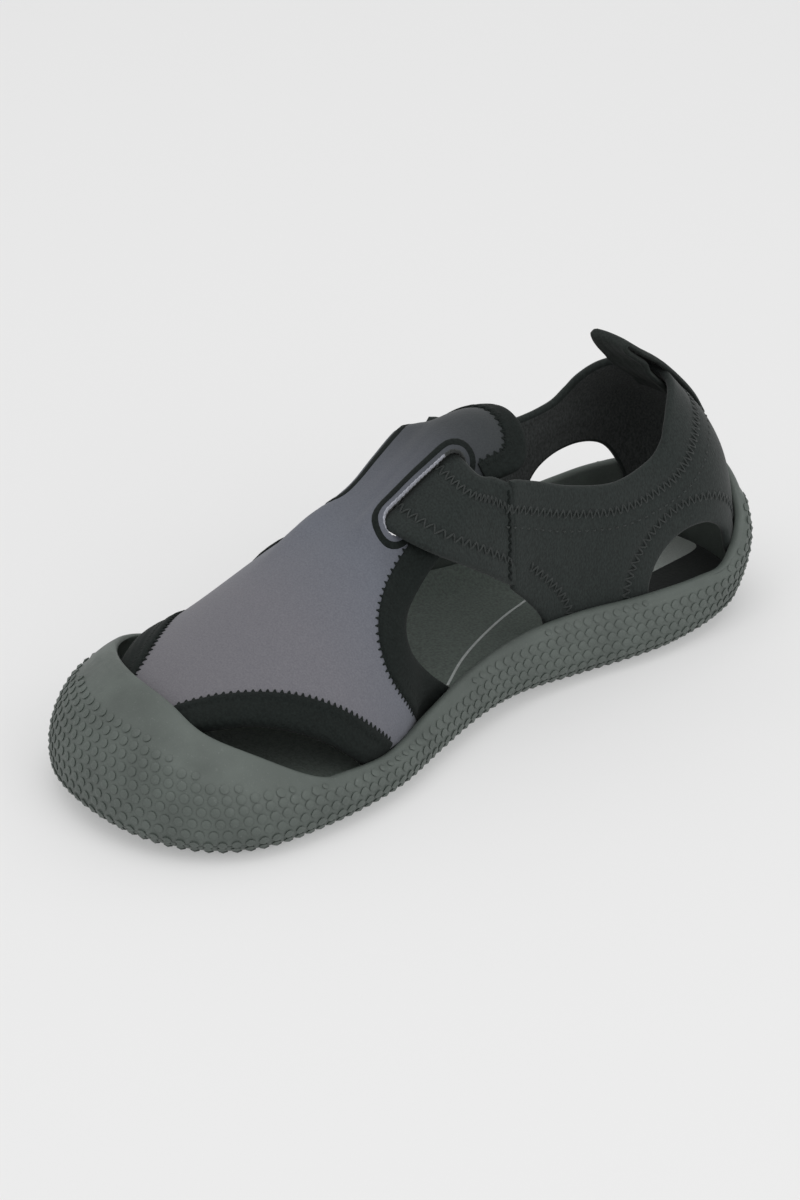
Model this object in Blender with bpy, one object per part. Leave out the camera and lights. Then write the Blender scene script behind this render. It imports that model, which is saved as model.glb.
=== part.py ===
"""Closed-toe water shoe for a child, right foot, standing empty on its sole.

The toe points to -Y, the inner (medial) side of the foot is +X and the floor is z = 0.
Sizes are in millimetres; each mesh is scaled to metres as it is made.
"""
import math

import bmesh
import bpy
import numpy as np
from mathutils.geometry import delaunay_2d_cdt

MILLIMETRE = 0.001

# Driving sizes of the last
LENGTH = 178.5
BALL_WIDTH = 72.0
INSTEP_HEIGHT = 63.5
HEEL_HEIGHT = 61.0

# Sizes of the materials
GAP = 0.3
NEOPRENE = 2.0
TAPE = 0.8
WEBBING = 1.2
INSOLE_THICKNESS = 2.6
INSOLE_ROUND = 0.8
CAP_WALL = 2.2

# Sizes of the cup sole
HALF_LENGTH = LENGTH / 2
RING_STATIONS = 72
TOE_ROUND = 0.19 * LENGTH
TOE_POWER = 2.2
HEEL_ROUND = 0.15 * LENGTH
HEEL_POWER = 2.5
SOLE_UNDER_INSOLE = 4.6
TREAD_INSET = 7.0
BULGE_RISE = 6.5
CUP_INSET = 4.6
RIM_INSET = 1.6
RIM_LIP = 2.6
RIM_TUCK = 0.27
RIM_TUCK_FROM = 24.0
RIM_THINNING = 0.06
RIM_THINNING_FROM = 16.0
RIM_ROUND = 0.6
RIM_INNER_DROP = 0.2
WALL_TURN = 80.0
CAP_TURN = 60.0
TOE_SPRING = 2.2
ARCH_RISE = 1.3
HEEL_BEVEL = 0.5
HEEL_UNDERCUT = 5.6
HEEL_UNDERCUT_TOP = 19.0
HEEL_UNDERCUT_POWER = 1.5
HEEL_UNDERCUT_SPAN = (0.28 * LENGTH, 0.46 * LENGTH)
FOREFOOT_PAD = (-0.36 * LENGTH, -0.13 * LENGTH)
HEEL_PAD = (0.20 * LENGTH, 0.44 * LENGTH)
CAP_CORNER_Y = -0.27 * LENGTH
CAP_TOP = (2.0, -0.407 * LENGTH, 0.45 * INSTEP_HEIGHT)
CAP_CLIMB_MEDIAL = 1.5
CAP_CLIMB_LATERAL = 1.0
CAP_SCOOP = 2.7
CAP_SCOOP_MIDDLE = 0.63
CAP_SCOOP_SPREAD = 0.18
CAP_LIP = 0.9
CAP_ROWS = 5
GROOVE_WIDTH = 2.0
GROOVE_DEPTH = 1.5
GROOVE_PITCH = 9.0
GROOVE_MARGIN = 13.0

# Sizes of the upper
UPPER_INSET = CUP_INSET + GAP
PANEL_STEP = 3.7
PANEL_CLEAR = 0.55 * PANEL_STEP
SLOT_MEDIAL = 6.7
SLOT_LATERAL = 11.8
SLOT_WIDTH = 6.2
SLOT_SLANT = 2.1
SLOT_FRONT = -12.8
SLOT_BACK = 8.4
RELIEF_FRONT = (SLOT_FRONT - 9.0, SLOT_FRONT - 1.0)
RELIEF_FRONT_LATERAL = (SLOT_FRONT - 26.0, SLOT_FRONT - 3.0)
RELIEF_BACK = (SLOT_BACK - 2.0, SLOT_BACK + 5.0)
RELIEF_SPREAD = 4.0
RELIEF_MARGIN = 2.0
LIFT_MEDIAL = 1.6
LIFT_LATERAL = 3.8
LIFT_LATERAL_FRONT = 0.62
SINK_MEDIAL = 1.0
SINK_LATERAL = 2.6
BINDING_WIDTH = 6.5
TONGUE_BINDING_WIDTH = 5.0
TAPE_STEP = 2.2
TAPE_LIFT = 0.5
CAP_CLEARANCE = 2.0
SIDE_TAPE_END = -13.0
TONGUE_TAPE_END = 15.0
STRAP_SEAM = 84.0
STRAP_ACROSS = 5
STRAP_STEP = 2.4
STRAP_SLOT_ROOM = 2.0
STRAP_THROUGH = -1.1
STRAP_UNDER = -3.9
STRAP_OVER = 1.7
TAB_HALF_WIDTH = 6.0
TAB_STEP = 1.5
TAB_COLUMNS = 5
TAB_SHIFT = -1.7
TAB_OUTSIDE = (44.0, 49.0, 54.0)
TAB_INSIDE = (55.8, 54.4, 53.0)


def table(columns, rows):
    """A short table with named columns; the first column is the one looked up."""
    values = np.array(rows, float)
    return {name: values[:, i] for i, name in enumerate(columns.split())}


# Plan of the sole: shares of the length, and of the ball width
PLAN = table("along centre half", [
    (-0.50, 0.020, 0.502),
    (-0.34, 0.018, 0.502),
    (-0.25, 0.012, 0.504),
    (-0.17, -0.008, 0.490),
    (-0.08, -0.045, 0.440),
    (0.00, -0.062, 0.393),
    (0.08, -0.065, 0.360),
    (0.17, -0.050, 0.350),
    (0.25, -0.026, 0.352),
    (0.34, -0.013, 0.353),
    (0.50, -0.012, 0.352),
])

# Top of the sole's side wall: shares of the length, and of the heel height
RIM = table("along medial lateral", [
    (-0.50, 0.195, 0.280),
    (-0.27, 0.195, 0.275),
    (-0.17, 0.165, 0.260),
    (-0.08, 0.195, 0.270),
    (0.00, 0.235, 0.295),
    (0.10, 0.265, 0.330),
    (0.18, 0.268, 0.365),
    (0.27, 0.255, 0.405),
    (0.36, 0.250, 0.418),
    (0.42, 0.265, 0.418),
    (0.46, 0.365, 0.430),
    (0.48, 0.460, 0.460),
    (0.50, 0.560, 0.560),
])

# Ridge of the vamp: shares of the length, ball width and instep height
RIDGE = table("along side crest base", [
    (-0.44, 0.022, 0.308, 0.12),
    (-0.405, 0.022, 0.393, 0.14),
    (-0.36, 0.020, 0.450, 0.16),
    (-0.30, 0.016, 0.506, 0.16),
    (-0.25, 0.012, 0.556, 0.16),
    (-0.17, 0.007, 0.650, 0.16),
    (-0.118, 0.007, 0.714, 0.17),
    (-0.067, 0.005, 0.790, 0.19),
    (0.00, 0.000, 0.910, 0.22),
    (0.05, -0.003, 0.985, 0.26),
    (0.095, -0.003, 1.000, 0.29),
    (0.155, 0.000, 0.953, 0.29),
])
TONGUE_HALF = 0.285 * BALL_WIDTH
TONGUE_BLEND = (-26.0, -4.0)

# Back of the upper: shares of the heel height, the lean in millimetres and how much each side narrows
HEEL_CURVE = table("height lean inner outer", [
    (0.10, 0.0, 0.00, 0.00),
    (0.32, 0.2, 0.00, 0.00),
    (0.46, 0.9, 0.00, 0.00),
    (0.54, 1.5, 0.02, 0.00),
    (0.67, 3.4, 0.09, 0.03),
    (0.79, 6.8, 0.22, 0.10),
    (0.90, 11.8, 0.38, 0.22),
    (1.05, 18.5, 0.56, 0.38),
])
LEAN_SPAN = (20.0, 80.0)
NARROW_SPAN = (30.0, 62.0)


def read(columns, name, at):
    """Read a column smoothly, as a cubic through the rows."""
    places = columns[list(columns)[0]]
    values = columns[name]
    slopes = np.gradient(values, places)
    at = np.clip(np.asarray(at, float), places[0], places[-1])
    left = np.clip(np.searchsorted(places, at) - 1, 0, len(places) - 2)
    width = places[left + 1] - places[left]
    s = (at - places[left]) / width
    return ((1 + 2 * s) * (1 - s) ** 2 * values[left] + s * (1 - s) ** 2 * width * slopes[left]
            + s * s * (3 - 2 * s) * values[left + 1] + s * s * (s - 1) * width * slopes[left + 1])


def ease(start, end, value):
    """Smooth step from 0 at start to 1 at end."""
    s = np.clip((np.asarray(value, float) - start) / (end - start), 0, 1)
    return s * s * (3 - 2 * s)


def outline(angle):
    """Widest outline of the sole, from the heel (0) round the inner side to the toe (pi)."""
    y = HALF_LENGTH * np.cos(angle)
    toe = np.clip((-HALF_LENGTH + TOE_ROUND - y) / TOE_ROUND, 0, 1)
    heel = np.clip((y - HALF_LENGTH + HEEL_ROUND) / HEEL_ROUND, 0, 1)
    rounding = ((1 - toe ** TOE_POWER) ** (1 / TOE_POWER)
                * (1 - heel ** HEEL_POWER) ** (1 / HEEL_POWER))
    half = BALL_WIDTH * read(PLAN, "half", y / LENGTH) * rounding
    centre = BALL_WIDTH * read(PLAN, "centre", y / LENGTH)
    return np.stack([centre + np.sign(np.sin(angle)) * half, y], -1)


def plan(angle, inset):
    """The outline moved inwards by an inset."""
    small = 0.001
    along = outline(angle + small) - outline(angle - small)
    along /= np.linalg.norm(along, axis=-1, keepdims=True)
    inwards = np.stack([along[..., 1], -along[..., 0]], -1)
    return outline(angle) + inwards * np.asarray(inset, float)[..., None]


def bottom(y):
    """Underside of the sole: two flat pads, the arch between them, toe spring and heel bevel."""
    y = np.asarray(y, float)
    toe = np.clip((FOREFOOT_PAD[0] - y) / (HALF_LENGTH + FOREFOOT_PAD[0]), 0, 1)
    arch = np.clip((y - FOREFOOT_PAD[1]) / (HEEL_PAD[0] - FOREFOOT_PAD[1]), 0, 1)
    heel = np.clip((y - HEEL_PAD[1]) / (HALF_LENGTH - HEEL_PAD[1]), 0, 1)
    return TOE_SPRING * toe ** 2 + ARCH_RISE * np.sin(math.pi * arch) ** 2 + HEEL_BEVEL * heel ** 2


def rim(y, medial):
    """Height of the top of the side wall, on the inner or the outer side."""
    along = np.asarray(y) / LENGTH
    return HEEL_HEIGHT * np.where(medial, read(RIM, "medial", along), read(RIM, "lateral", along))


def ring_angles():
    """Stations round the sole; station k and its partner face each other across it."""
    return np.linspace(0, 2 * math.pi, RING_STATIONS, endpoint=False)


def with_height(flat, height):
    """Join plan points and heights."""
    return np.concatenate([flat, np.broadcast_to(height, flat.shape[:1])[:, None]], -1)


def wall_edge(angle):
    """Outer edge of the side wall, which climbs over the toes as the cap; and how far it is cap."""
    corner_angle = math.acos(CAP_CORNER_Y / HALF_LENGTH)
    folded = np.where(angle > math.pi, 2 * math.pi - angle, angle)
    share = np.clip((folded - corner_angle) / (math.pi - corner_angle), 0, 1)
    medial = angle <= math.pi
    height = rim(outline(angle)[:, 1], medial)
    side = plan(angle, RIM_INSET + RIM_TUCK * np.maximum(height - RIM_TUCK_FROM, 0))
    edge = with_height(side, height - RIM_ROUND)
    sides = ((corner_angle, True, CAP_CLIMB_MEDIAL, CAP_SCOOP),
             (2 * math.pi - corner_angle, False, CAP_CLIMB_LATERAL, 0.0))
    for corner, inner, climb, scoop in sides:
        chosen = (share > 0) & (medial == inner)
        foot = plan(np.array([corner]), np.array([RIM_INSET]))[0]
        foot_z = rim(foot[1], inner) - RIM_ROUND
        turn = share[chosen] * math.pi / 2
        edge[chosen, 0] = CAP_TOP[0] + (foot[0] - CAP_TOP[0]) * np.cos(turn)
        dip = scoop * np.exp(-((share[chosen] - CAP_SCOOP_MIDDLE) / CAP_SCOOP_SPREAD) ** 2)
        edge[chosen, 1] = foot[1] + (CAP_TOP[1] - foot[1]) * np.sin(turn) - dip
        edge[chosen, 2] = foot_z + (CAP_TOP[2] - foot_z) * np.sin(turn) ** climb
    return edge, share


def wall_row(low, edge, share, s):
    """A row of the wall at share s of the way up its rounded path from the bulge to the edge."""
    turn = np.radians(WALL_TURN + (CAP_TURN - WALL_TURN) * share)
    inwards = (1 - np.cos(s * turn)) / (1 - np.cos(turn))
    upwards = np.sin(s * turn) / np.sin(turn)
    flat = low[:, :2] + (edge[:, :2] - low[:, :2]) * inwards[:, None]
    return with_height(flat, low[:, 2] + (edge[:, 2] - low[:, 2]) * upwards)


def cup_rows():
    """Rows of the cup sole from the tread up over the rim and the cap, and down inside."""
    angle = ring_angles()
    lower = table("inset rise", [
        (TREAD_INSET, 0.0),
        (3.4, 0.7),
        (1.1, 2.3),
        (0.7, 3.3),
        (0.0, 3.8),
        (0.0, BULGE_RISE),
    ])
    rows = []
    for inset, rise in zip(lower["inset"], lower["rise"]):
        flat = plan(angle, np.full_like(angle, inset))
        rows.append(with_height(flat, bottom(flat[:, 1]) + rise))
    edge, share = wall_edge(angle)
    for step in range(1, CAP_ROWS + 1):
        rows.append(wall_row(rows[5], edge, share, step / CAP_ROWS))
    toward_middle = plan(angle, np.ones_like(angle)) - outline(angle)
    for row in rows:
        share_up = np.clip(row[:, 2] / HEEL_UNDERCUT_TOP, 0, 1)
        depth = HEEL_UNDERCUT * (1 - share_up) ** HEEL_UNDERCUT_POWER * ease(*HEEL_UNDERCUT_SPAN, row[:, 1])
        row[:, :2] += toward_middle * depth[:, None]
    inside = plan(angle, np.full_like(angle, CUP_INSET))
    inner_low = with_height(inside, bottom(inside[:, 1]) + BULGE_RISE)
    inwards = edge[:, :2] - outline(angle)
    inwards /= np.linalg.norm(inwards, axis=1, keepdims=True)
    inner_edge = edge.copy()
    lip_width = RIM_LIP - RIM_THINNING * np.maximum(edge[:, 2] - RIM_THINNING_FROM, 0) * (1 - share)
    inner_edge[:, :2] += inwards * (lip_width + (CAP_LIP - lip_width) * share)[:, None]
    inner_edge[:, 2] -= RIM_INNER_DROP + (CAP_WALL - RIM_INNER_DROP) * share
    lip = (edge + inner_edge) / 2
    lip[:, :2] += inwards * (RIM_ROUND * share)[:, None]
    lip[:, 2] += RIM_ROUND * (1 - 0.5 * share)
    rows.append(lip)
    for step in range(CAP_ROWS, -1, -1):
        rows.append(wall_row(inner_low, inner_edge, share, step / CAP_ROWS))
    floor = plan(angle, np.full_like(angle, CUP_INSET + GAP))
    rows.append(with_height(floor, bottom(floor[:, 1]) + SOLE_UNDER_INSOLE))
    return rows


def ring_faces(row_count, count):
    """Quads between neighbouring rows of a ring."""
    faces = []
    for row in range(row_count - 1):
        for k in range(count):
            after = (k + 1) % count
            low, high = row * count, (row + 1) * count
            faces.append((low + k, low + after, high + after, high + k))
    return faces


def ladder_faces(first, count):
    """Faces that close a ring, rung by rung, between stations that face each other."""
    half = count // 2
    faces = [(first, first + 1, first + count - 1)]
    for k in range(1, half - 1):
        faces.append((first + k, first + k + 1, first + count - k - 1, first + count - k))
    faces.append((first + half - 1, first + half, first + half + 1))
    return faces


def ring_solid(rows):
    """Points and faces of a closed solid made of rings, closed across its first and last one."""
    count = len(rows[0])
    faces = ring_faces(len(rows), count)
    faces += ladder_faces(0, count)
    faces += ladder_faces((len(rows) - 1) * count, count)
    return np.concatenate(rows), faces


def insole_rows():
    """Rows of the footbed: a sheet on the cup's floor with a rounded upper edge."""
    angle = ring_angles()
    inset = CUP_INSET + 2 * GAP
    rows = []
    for more, rise in ((0.0, 0.0), (0.0, INSOLE_THICKNESS - INSOLE_ROUND), (INSOLE_ROUND, INSOLE_THICKNESS)):
        flat = plan(angle, np.full_like(angle, inset + more))
        rows.append(with_height(flat, bottom(flat[:, 1]) + SOLE_UNDER_INSOLE + GAP + rise))
    return rows


def cup_side(y, medial):
    """Where the upper's outer face meets the cup wall, at a place along the shoe."""
    angle = np.linspace(0.02, math.pi - 0.02, 240)
    if not medial:
        angle = 2 * math.pi - angle
    wall = plan(angle, np.full_like(angle, UPPER_INSET))
    order = np.argsort(wall[:, 1])
    return np.interp(y, wall[order, 1], wall[order, 0])


def slot_edges(y, medial):
    """Arcs from the ridge to the near and the far edge of a strap slot, on one side."""
    forwards = np.clip((SLOT_BACK - y) / (SLOT_BACK - SLOT_FRONT), 0, 1)
    near = np.where(medial, SLOT_MEDIAL - SLOT_SLANT * forwards, SLOT_LATERAL)
    return near, near + SLOT_WIDTH


def slot_relief(y, across):
    """How far the bar between the slots lifts, and the margin outside them sinks, round the strap."""
    reach = np.abs(across)
    medial = across > 0
    near, far = slot_edges(y, medial)
    front = ease(*RELIEF_FRONT, y)
    lift_front = np.where(medial, front, ease(*RELIEF_FRONT_LATERAL, y))
    backwards = LIFT_LATERAL_FRONT + (1 - LIFT_LATERAL_FRONT) * ease(SLOT_FRONT, SLOT_BACK, y)
    highest = np.where(medial, LIFT_MEDIAL, LIFT_LATERAL * backwards)
    lowest = np.where(medial, SINK_MEDIAL, SINK_LATERAL)
    lift = highest * lift_front * np.exp(-((reach - near) / RELIEF_SPREAD) ** 2)
    sink = lowest * front * ease(near, far + RELIEF_MARGIN, reach)
    return (lift - sink) * (1 - ease(*RELIEF_BACK, y))


def vamp_point(y, across):
    """A point of the vamp's outer face: y along the shoe, and the arc from the ridge to the side."""
    along = y / LENGTH
    side = BALL_WIDTH * read(RIDGE, "side", along)
    crest = INSTEP_HEIGHT * read(RIDGE, "crest", along)
    base = INSTEP_HEIGHT * read(RIDGE, "base", along)
    medial = across >= 0
    wall = np.where(medial, cup_side(y, True) - side, side - cup_side(y, False))
    tongue = ease(TONGUE_BLEND[0], TONGUE_BLEND[1], y)
    half = wall + (TONGUE_HALF - wall) * tongue
    rise = crest - base
    turns = np.linspace(0, math.pi / 2, 41)
    run_x = half[:, None] * np.sin(turns)
    run_z = base[:, None] + rise[:, None] * np.cos(turns)
    pieces = np.hypot(np.diff(run_x, axis=1), np.diff(run_z, axis=1))
    lengths = np.concatenate([np.zeros((len(y), 1)), np.cumsum(pieces, axis=1)], axis=1)
    reach = np.abs(across)
    position = np.array([np.interp(r, row, turns) for r, row in zip(reach, lengths)])
    below = np.maximum(reach - lengths[:, -1], 0)
    x = side + np.where(medial, 1, -1) * half * np.sin(position)
    return np.stack([x, y, base + rise * np.cos(position) - below], -1)


def lifted(point, u, v, small=0.05):
    """A surface's points and outward normals, from its point function."""
    u, v = np.asarray(u, float), np.asarray(v, float)
    step_u = point(u + small, v) - point(u - small, v)
    step_v = point(u, v + small) - point(u, v - small)
    normal = np.cross(step_u, step_v)
    return point(u, v), normal / np.linalg.norm(normal, axis=1, keepdims=True)


def vamp_surface(y, across):
    """Outer face of the vamp with the relief round the strap, and its normals."""
    point, normal = lifted(vamp_point, y, across)
    normal = -normal
    return point + normal * slot_relief(np.asarray(y, float), np.asarray(across, float))[:, None], normal


def heel_wrap():
    """Plan of the back upper: arc length from the heel's back (inner side positive) and points."""
    angle = np.linspace(-2.6, 2.6, 521)
    points = plan(angle, np.full_like(angle, UPPER_INSET))
    lengths = np.concatenate([[0], np.cumsum(np.linalg.norm(np.diff(points, axis=0), axis=1))])
    return lengths - np.interp(0, angle, lengths), points


WRAP_LENGTH, WRAP_POINTS = heel_wrap()


def quarter_point(wrap, z):
    """A point of the back upper's outer face: arc length round the heel, and height."""
    x = np.interp(wrap, WRAP_LENGTH, WRAP_POINTS[:, 0])
    y = np.interp(wrap, WRAP_LENGTH, WRAP_POINTS[:, 1])
    lean = read(HEEL_CURVE, "lean", z / HEEL_HEIGHT) * ease(*LEAN_SPAN, y)
    middle = BALL_WIDTH * read(PLAN, "centre", y / LENGTH)
    inner = read(HEEL_CURVE, "inner", z / HEEL_HEIGHT)
    outer = read(HEEL_CURVE, "outer", z / HEEL_HEIGHT)
    narrowing = np.where(x > middle, inner, outer) * ease(*NARROW_SPAN, y)
    return np.stack([middle + (x - middle) * (1 - narrowing), y - lean, z], -1)


def quarter_surface(wrap, z):
    """Outer face of the back upper and its normals."""
    point, normal = lifted(quarter_point, wrap, z, 0.4)
    return point, -normal


def smooth_path(points, spacing=PANEL_STEP):
    """A smooth open curve through a few points, cut into even steps."""
    points = np.asarray(points, float)
    padded = np.concatenate([[2 * points[0] - points[1]], points, [2 * points[-1] - points[-2]]])
    s = np.linspace(0, 1, 24, endpoint=False)[:, None]
    pieces = []
    for before, start, end, after in zip(padded, padded[1:], padded[2:], padded[3:]):
        pieces.append(0.5 * (2 * start + (end - before) * s
                             + (2 * before - 5 * start + 4 * end - after) * s ** 2
                             + (3 * start - before - 3 * end + after) * s ** 3))
    curve = np.concatenate(pieces + [points[-1:]])
    lengths = np.concatenate([[0], np.cumsum(np.linalg.norm(np.diff(curve, axis=0), axis=1))])
    count = max(2, int(round(lengths[-1] / spacing)) + 1)
    even = np.linspace(0, lengths[-1], count)
    return np.stack([np.interp(even, lengths, curve[:, i]) for i in range(curve.shape[1])], -1)


def closed_path(*runs):
    """Join runs end to end into one loop, without their repeated ends."""
    return np.concatenate([run[:-1] for run in runs])


def inside_loop(points, loop):
    """Which points lie inside a loop."""
    inside = np.zeros(len(points), bool)
    for (x0, y0), (x1, y1) in zip(loop, np.roll(loop, -1, axis=0)):
        crosses = (y0 > points[:, 1]) != (y1 > points[:, 1])
        with np.errstate(divide="ignore", invalid="ignore"):
            at = x0 + (points[:, 1] - y0) * (x1 - x0) / (y1 - y0)
        inside ^= crosses & (points[:, 0] < at)
    return inside


def clear_of(points, loop, distance):
    """Which points keep a distance from a loop."""
    nearest = np.full(len(points), np.inf)
    for start, end in zip(loop, np.roll(loop, -1, axis=0)):
        edge = end - start
        share = np.clip(((points - start) @ edge) / max(edge @ edge, 1e-9), 0, 1)
        nearest = np.minimum(nearest, np.linalg.norm(points - start - share[:, None] * edge, axis=1))
    return nearest > distance


def panel_solid(loop, holes, surface, thickness):
    """A sheet cut to a pattern, laid on a surface and given its thickness inwards."""
    low, high = loop.min(axis=0), loop.max(axis=0)
    places = [np.arange(low[i], high[i], PANEL_STEP) for i in (0, 1)]
    grid = np.stack(np.meshgrid(*places), -1).reshape(-1, 2)
    keep = inside_loop(grid, loop) & clear_of(grid, loop, PANEL_CLEAR)
    for hole in holes:
        keep &= ~inside_loop(grid, hole) & clear_of(grid, hole, PANEL_CLEAR)
    flat, edges = [], []
    for ring in [loop] + holes:
        first = len(flat)
        flat += [tuple(p) for p in ring]
        edges += [(first + i, first + (i + 1) % len(ring)) for i in range(len(ring))]
    flat += [tuple(p) for p in grid[keep]]
    whole = delaunay_2d_cdt(flat, edges, [], 0, 1e-6)
    pattern = np.array([(p[0], p[1]) for p in whole[0]])
    middles = np.array([pattern[list(face)].mean(axis=0) for face in whole[2]])
    wanted = inside_loop(middles, loop)
    for hole in holes:
        wanted &= ~inside_loop(middles, hole)
    sheet = [tuple(face) for face, kept in zip(whole[2], wanted) if kept]
    outer, normal = surface(pattern[:, 0], pattern[:, 1])
    points = np.concatenate([outer, outer - normal * thickness])
    count = len(outer)
    used = {}
    for face in sheet:
        for a, b in zip(face, face[1:] + face[:1]):
            used[(a, b)] = used.get((b, a), 0) + 1
    faces = sheet + [tuple(i + count for i in reversed(face)) for face in sheet]
    for a, b in used:
        if (b, a) not in used:
            faces.append((b, a, a + count, b + count))
    return points, faces


def slab_solid(grid, thickness):
    """A strip from a grid of points on its middle, with an even thickness."""
    rows, columns = grid.shape[:2]
    normal = np.cross(np.gradient(grid, axis=0), np.gradient(grid, axis=1))
    normal /= np.linalg.norm(normal, axis=2, keepdims=True)
    points = np.concatenate([(grid + normal * thickness / 2).reshape(-1, 3),
                             (grid - normal * thickness / 2).reshape(-1, 3)])
    count = rows * columns
    faces = []
    for i in range(rows - 1):
        for j in range(columns - 1):
            quad = (i * columns + j, i * columns + j + 1, (i + 1) * columns + j + 1, (i + 1) * columns + j)
            faces.append(quad)
            faces.append(tuple(k + count for k in reversed(quad)))
    border = [i * columns for i in range(rows)]
    border += [(rows - 1) * columns + j for j in range(1, columns)]
    border += [i * columns + columns - 1 for i in range(rows - 2, -1, -1)]
    border += list(range(columns - 2, 0, -1))
    for a, b in zip(border, border[1:] + border[:1]):
        faces.append((a, b, b + count, a + count))
    return points, faces


# Edges of the vamp, given along the shoe and as the arc from the ridge
TOE_CUT = [(-76.5, 11.4), (-72.0, 14.2), (-65.0, 19.2), (-56.0, 26.5), (-46.5, 36.5), (-37.6, 47.8)]
SIDE_CUT = [(-7.2, 50.2), (-14.0, 39.0), (-18.0, 31.5), (-16.5, 26.2), (-10.0, 23.0), (1.0, 21.0),
            (11.0, 17.6)]
OUTER_SIDE_CUT = [(-9.0, 46.0), (-14.0, 40.0), (-18.0, 33.0), (-16.5, 28.0), (-10.0, 25.2), (1.0, 23.6),
                  (11.0, 20.6)]
TONGUE_END = [(11.0, 17.6), (20.0, 16.6), (24.5, 10.6), (26.2, 2.0), (24.6, -6.0), (19.5, -14.0),
              (11.0, -20.6)]
TOE_TUCK = -76.5
OUTER_TOE_CUT = [(-76.5, 12.5), (-72.0, 15.0), (-65.0, 19.5), (-56.0, 27.0), (-46.5, 37.0), (-39.0, 46.0)]


def mirrored(points):
    """The other half of a pattern, in the opposite order."""
    return [(u, -v) for u, v in reversed(points)]


def vamp_loop():
    """Closed pattern of the vamp."""
    leg = [TOE_CUT[-1], SIDE_CUT[0]]
    outer_leg = [OUTER_TOE_CUT[-1], OUTER_SIDE_CUT[0]]
    front = [(TOE_TUCK, -OUTER_TOE_CUT[0][1]), (TOE_TUCK, TOE_CUT[0][1])]
    runs = [front, TOE_CUT, leg, SIDE_CUT, TONGUE_END, mirrored(OUTER_SIDE_CUT), mirrored(outer_leg),
            mirrored(OUTER_TOE_CUT)]
    return closed_path(*[smooth_path(run) for run in runs])


def slot_loop(sign):
    """Closed pattern of one strap slot, with round ends."""
    radius = SLOT_WIDTH / 2
    turns = np.linspace(-math.pi / 2, math.pi / 2, 6)
    front, back = SLOT_FRONT + radius, SLOT_BACK - radius
    front_end = [(front - radius * math.cos(t), radius * math.sin(t)) for t in turns]
    back_end = [(back + radius * math.cos(t), -radius * math.sin(t)) for t in turns]
    near_side = smooth_path([front_end[-1], back_end[0]])[1:-1]
    far_side = smooth_path([back_end[-1], front_end[0]])[1:-1]
    loop = np.concatenate([front_end, near_side, back_end, far_side])
    near = slot_edges(loop[:, 0], sign > 0)[0]
    return np.stack([loop[:, 0], loop[:, 1] + sign * (near + radius)], -1)


# Half patterns of the back upper, given as the arc round the heel and the height
COLLAR = [(0.0, 57.8), (9.0, 57.4), (19.0, 55.4), (28.0, 51.6), (34.0, 48.2), (41.0, 45.2), (54.0, 43.5),
          (67.0, 46.0), (77.0, 49.9), (STRAP_SEAM, 52.8)]
OUTER_COLLAR = [(0.0, 57.8), (9.0, 57.9), (19.0, 56.7), (28.0, 53.0), (34.0, 49.5), (41.0, 46.2),
                (54.0, 44.4), (67.0, 47.4), (75.0, 50.4)]
SEAM_LOW = (STRAP_SEAM, 27.5)
LEG_FRONT = [SEAM_LOW, (79.4, 22.5), (75.6, 17.0), (74.4, 10.0)]
HEEL_OVAL = [(49.0, 10.0), (48.5, 17.6), (44.5, 24.4), (37.5, 28.2), (29.5, 27.8), (22.8, 22.6),
             (20.5, 15.6)]
OUTER_OVAL = [(54.0, 10.0), (53.0, 19.0), (49.5, 28.6), (43.0, 33.3), (34.2, 34.5), (26.4, 32.0),
              (22.2, 25.0), (20.5, 17.0)]
HEEL_LOW = [(20.5, 15.6), (11.0, 16.8), (0.0, 17.2), (-11.0, 17.2), (-20.5, 17.0)]
OUTER_FRONT = [(75.0, 50.4), (81.0, 40.0), (83.5, 31.0)]


def quarter_loop():
    """Closed pattern of the back upper; its inner side runs to the strap seam."""
    collar = smooth_path(COLLAR)
    seam = smooth_path([COLLAR[-1], SEAM_LOW])
    leg_front = smooth_path(LEG_FRONT)
    sole_edge = smooth_path([LEG_FRONT[-1], HEEL_OVAL[0]])
    oval = smooth_path(HEEL_OVAL)
    heel = smooth_path(HEEL_LOW)
    outer_leg = [OUTER_FRONT[-1]] + LEG_FRONT[1:]

    def outer(points):
        return smooth_path([(-u, v) for u, v in reversed(points)])

    return closed_path(collar, seam, leg_front, sole_edge, oval, heel, outer(OUTER_OVAL),
                       outer([LEG_FRONT[-1], OUTER_OVAL[0]]), outer(outer_leg), outer(OUTER_FRONT),
                       outer(OUTER_COLLAR))


# Strap outside the slots: x, y and z of its upper edge, then of its lower edge
STRAP_INNER = [
    (14.4, 10.6, 54.8, 17.2, 4.6, 35.2),
    (12.9, 7.8, 55.6, 15.8, -8.2, 44.0),
]
STRAP_OUTER = [
    (-17.2, 9.0, 49.6, -19.4, -9.6, 37.6),
    (-22.6, 13.8, 47.0, -24.6, -2.6, 32.0),
    (-26.6, 20.0, 45.8, -27.6, 6.0, 28.0),
    (-26.2, 26.6, 45.2, -27.3, 15.6, 25.6),
    (-25.2, 33.5, 44.6, -26.0, 27.0, 24.4),
]


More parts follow.
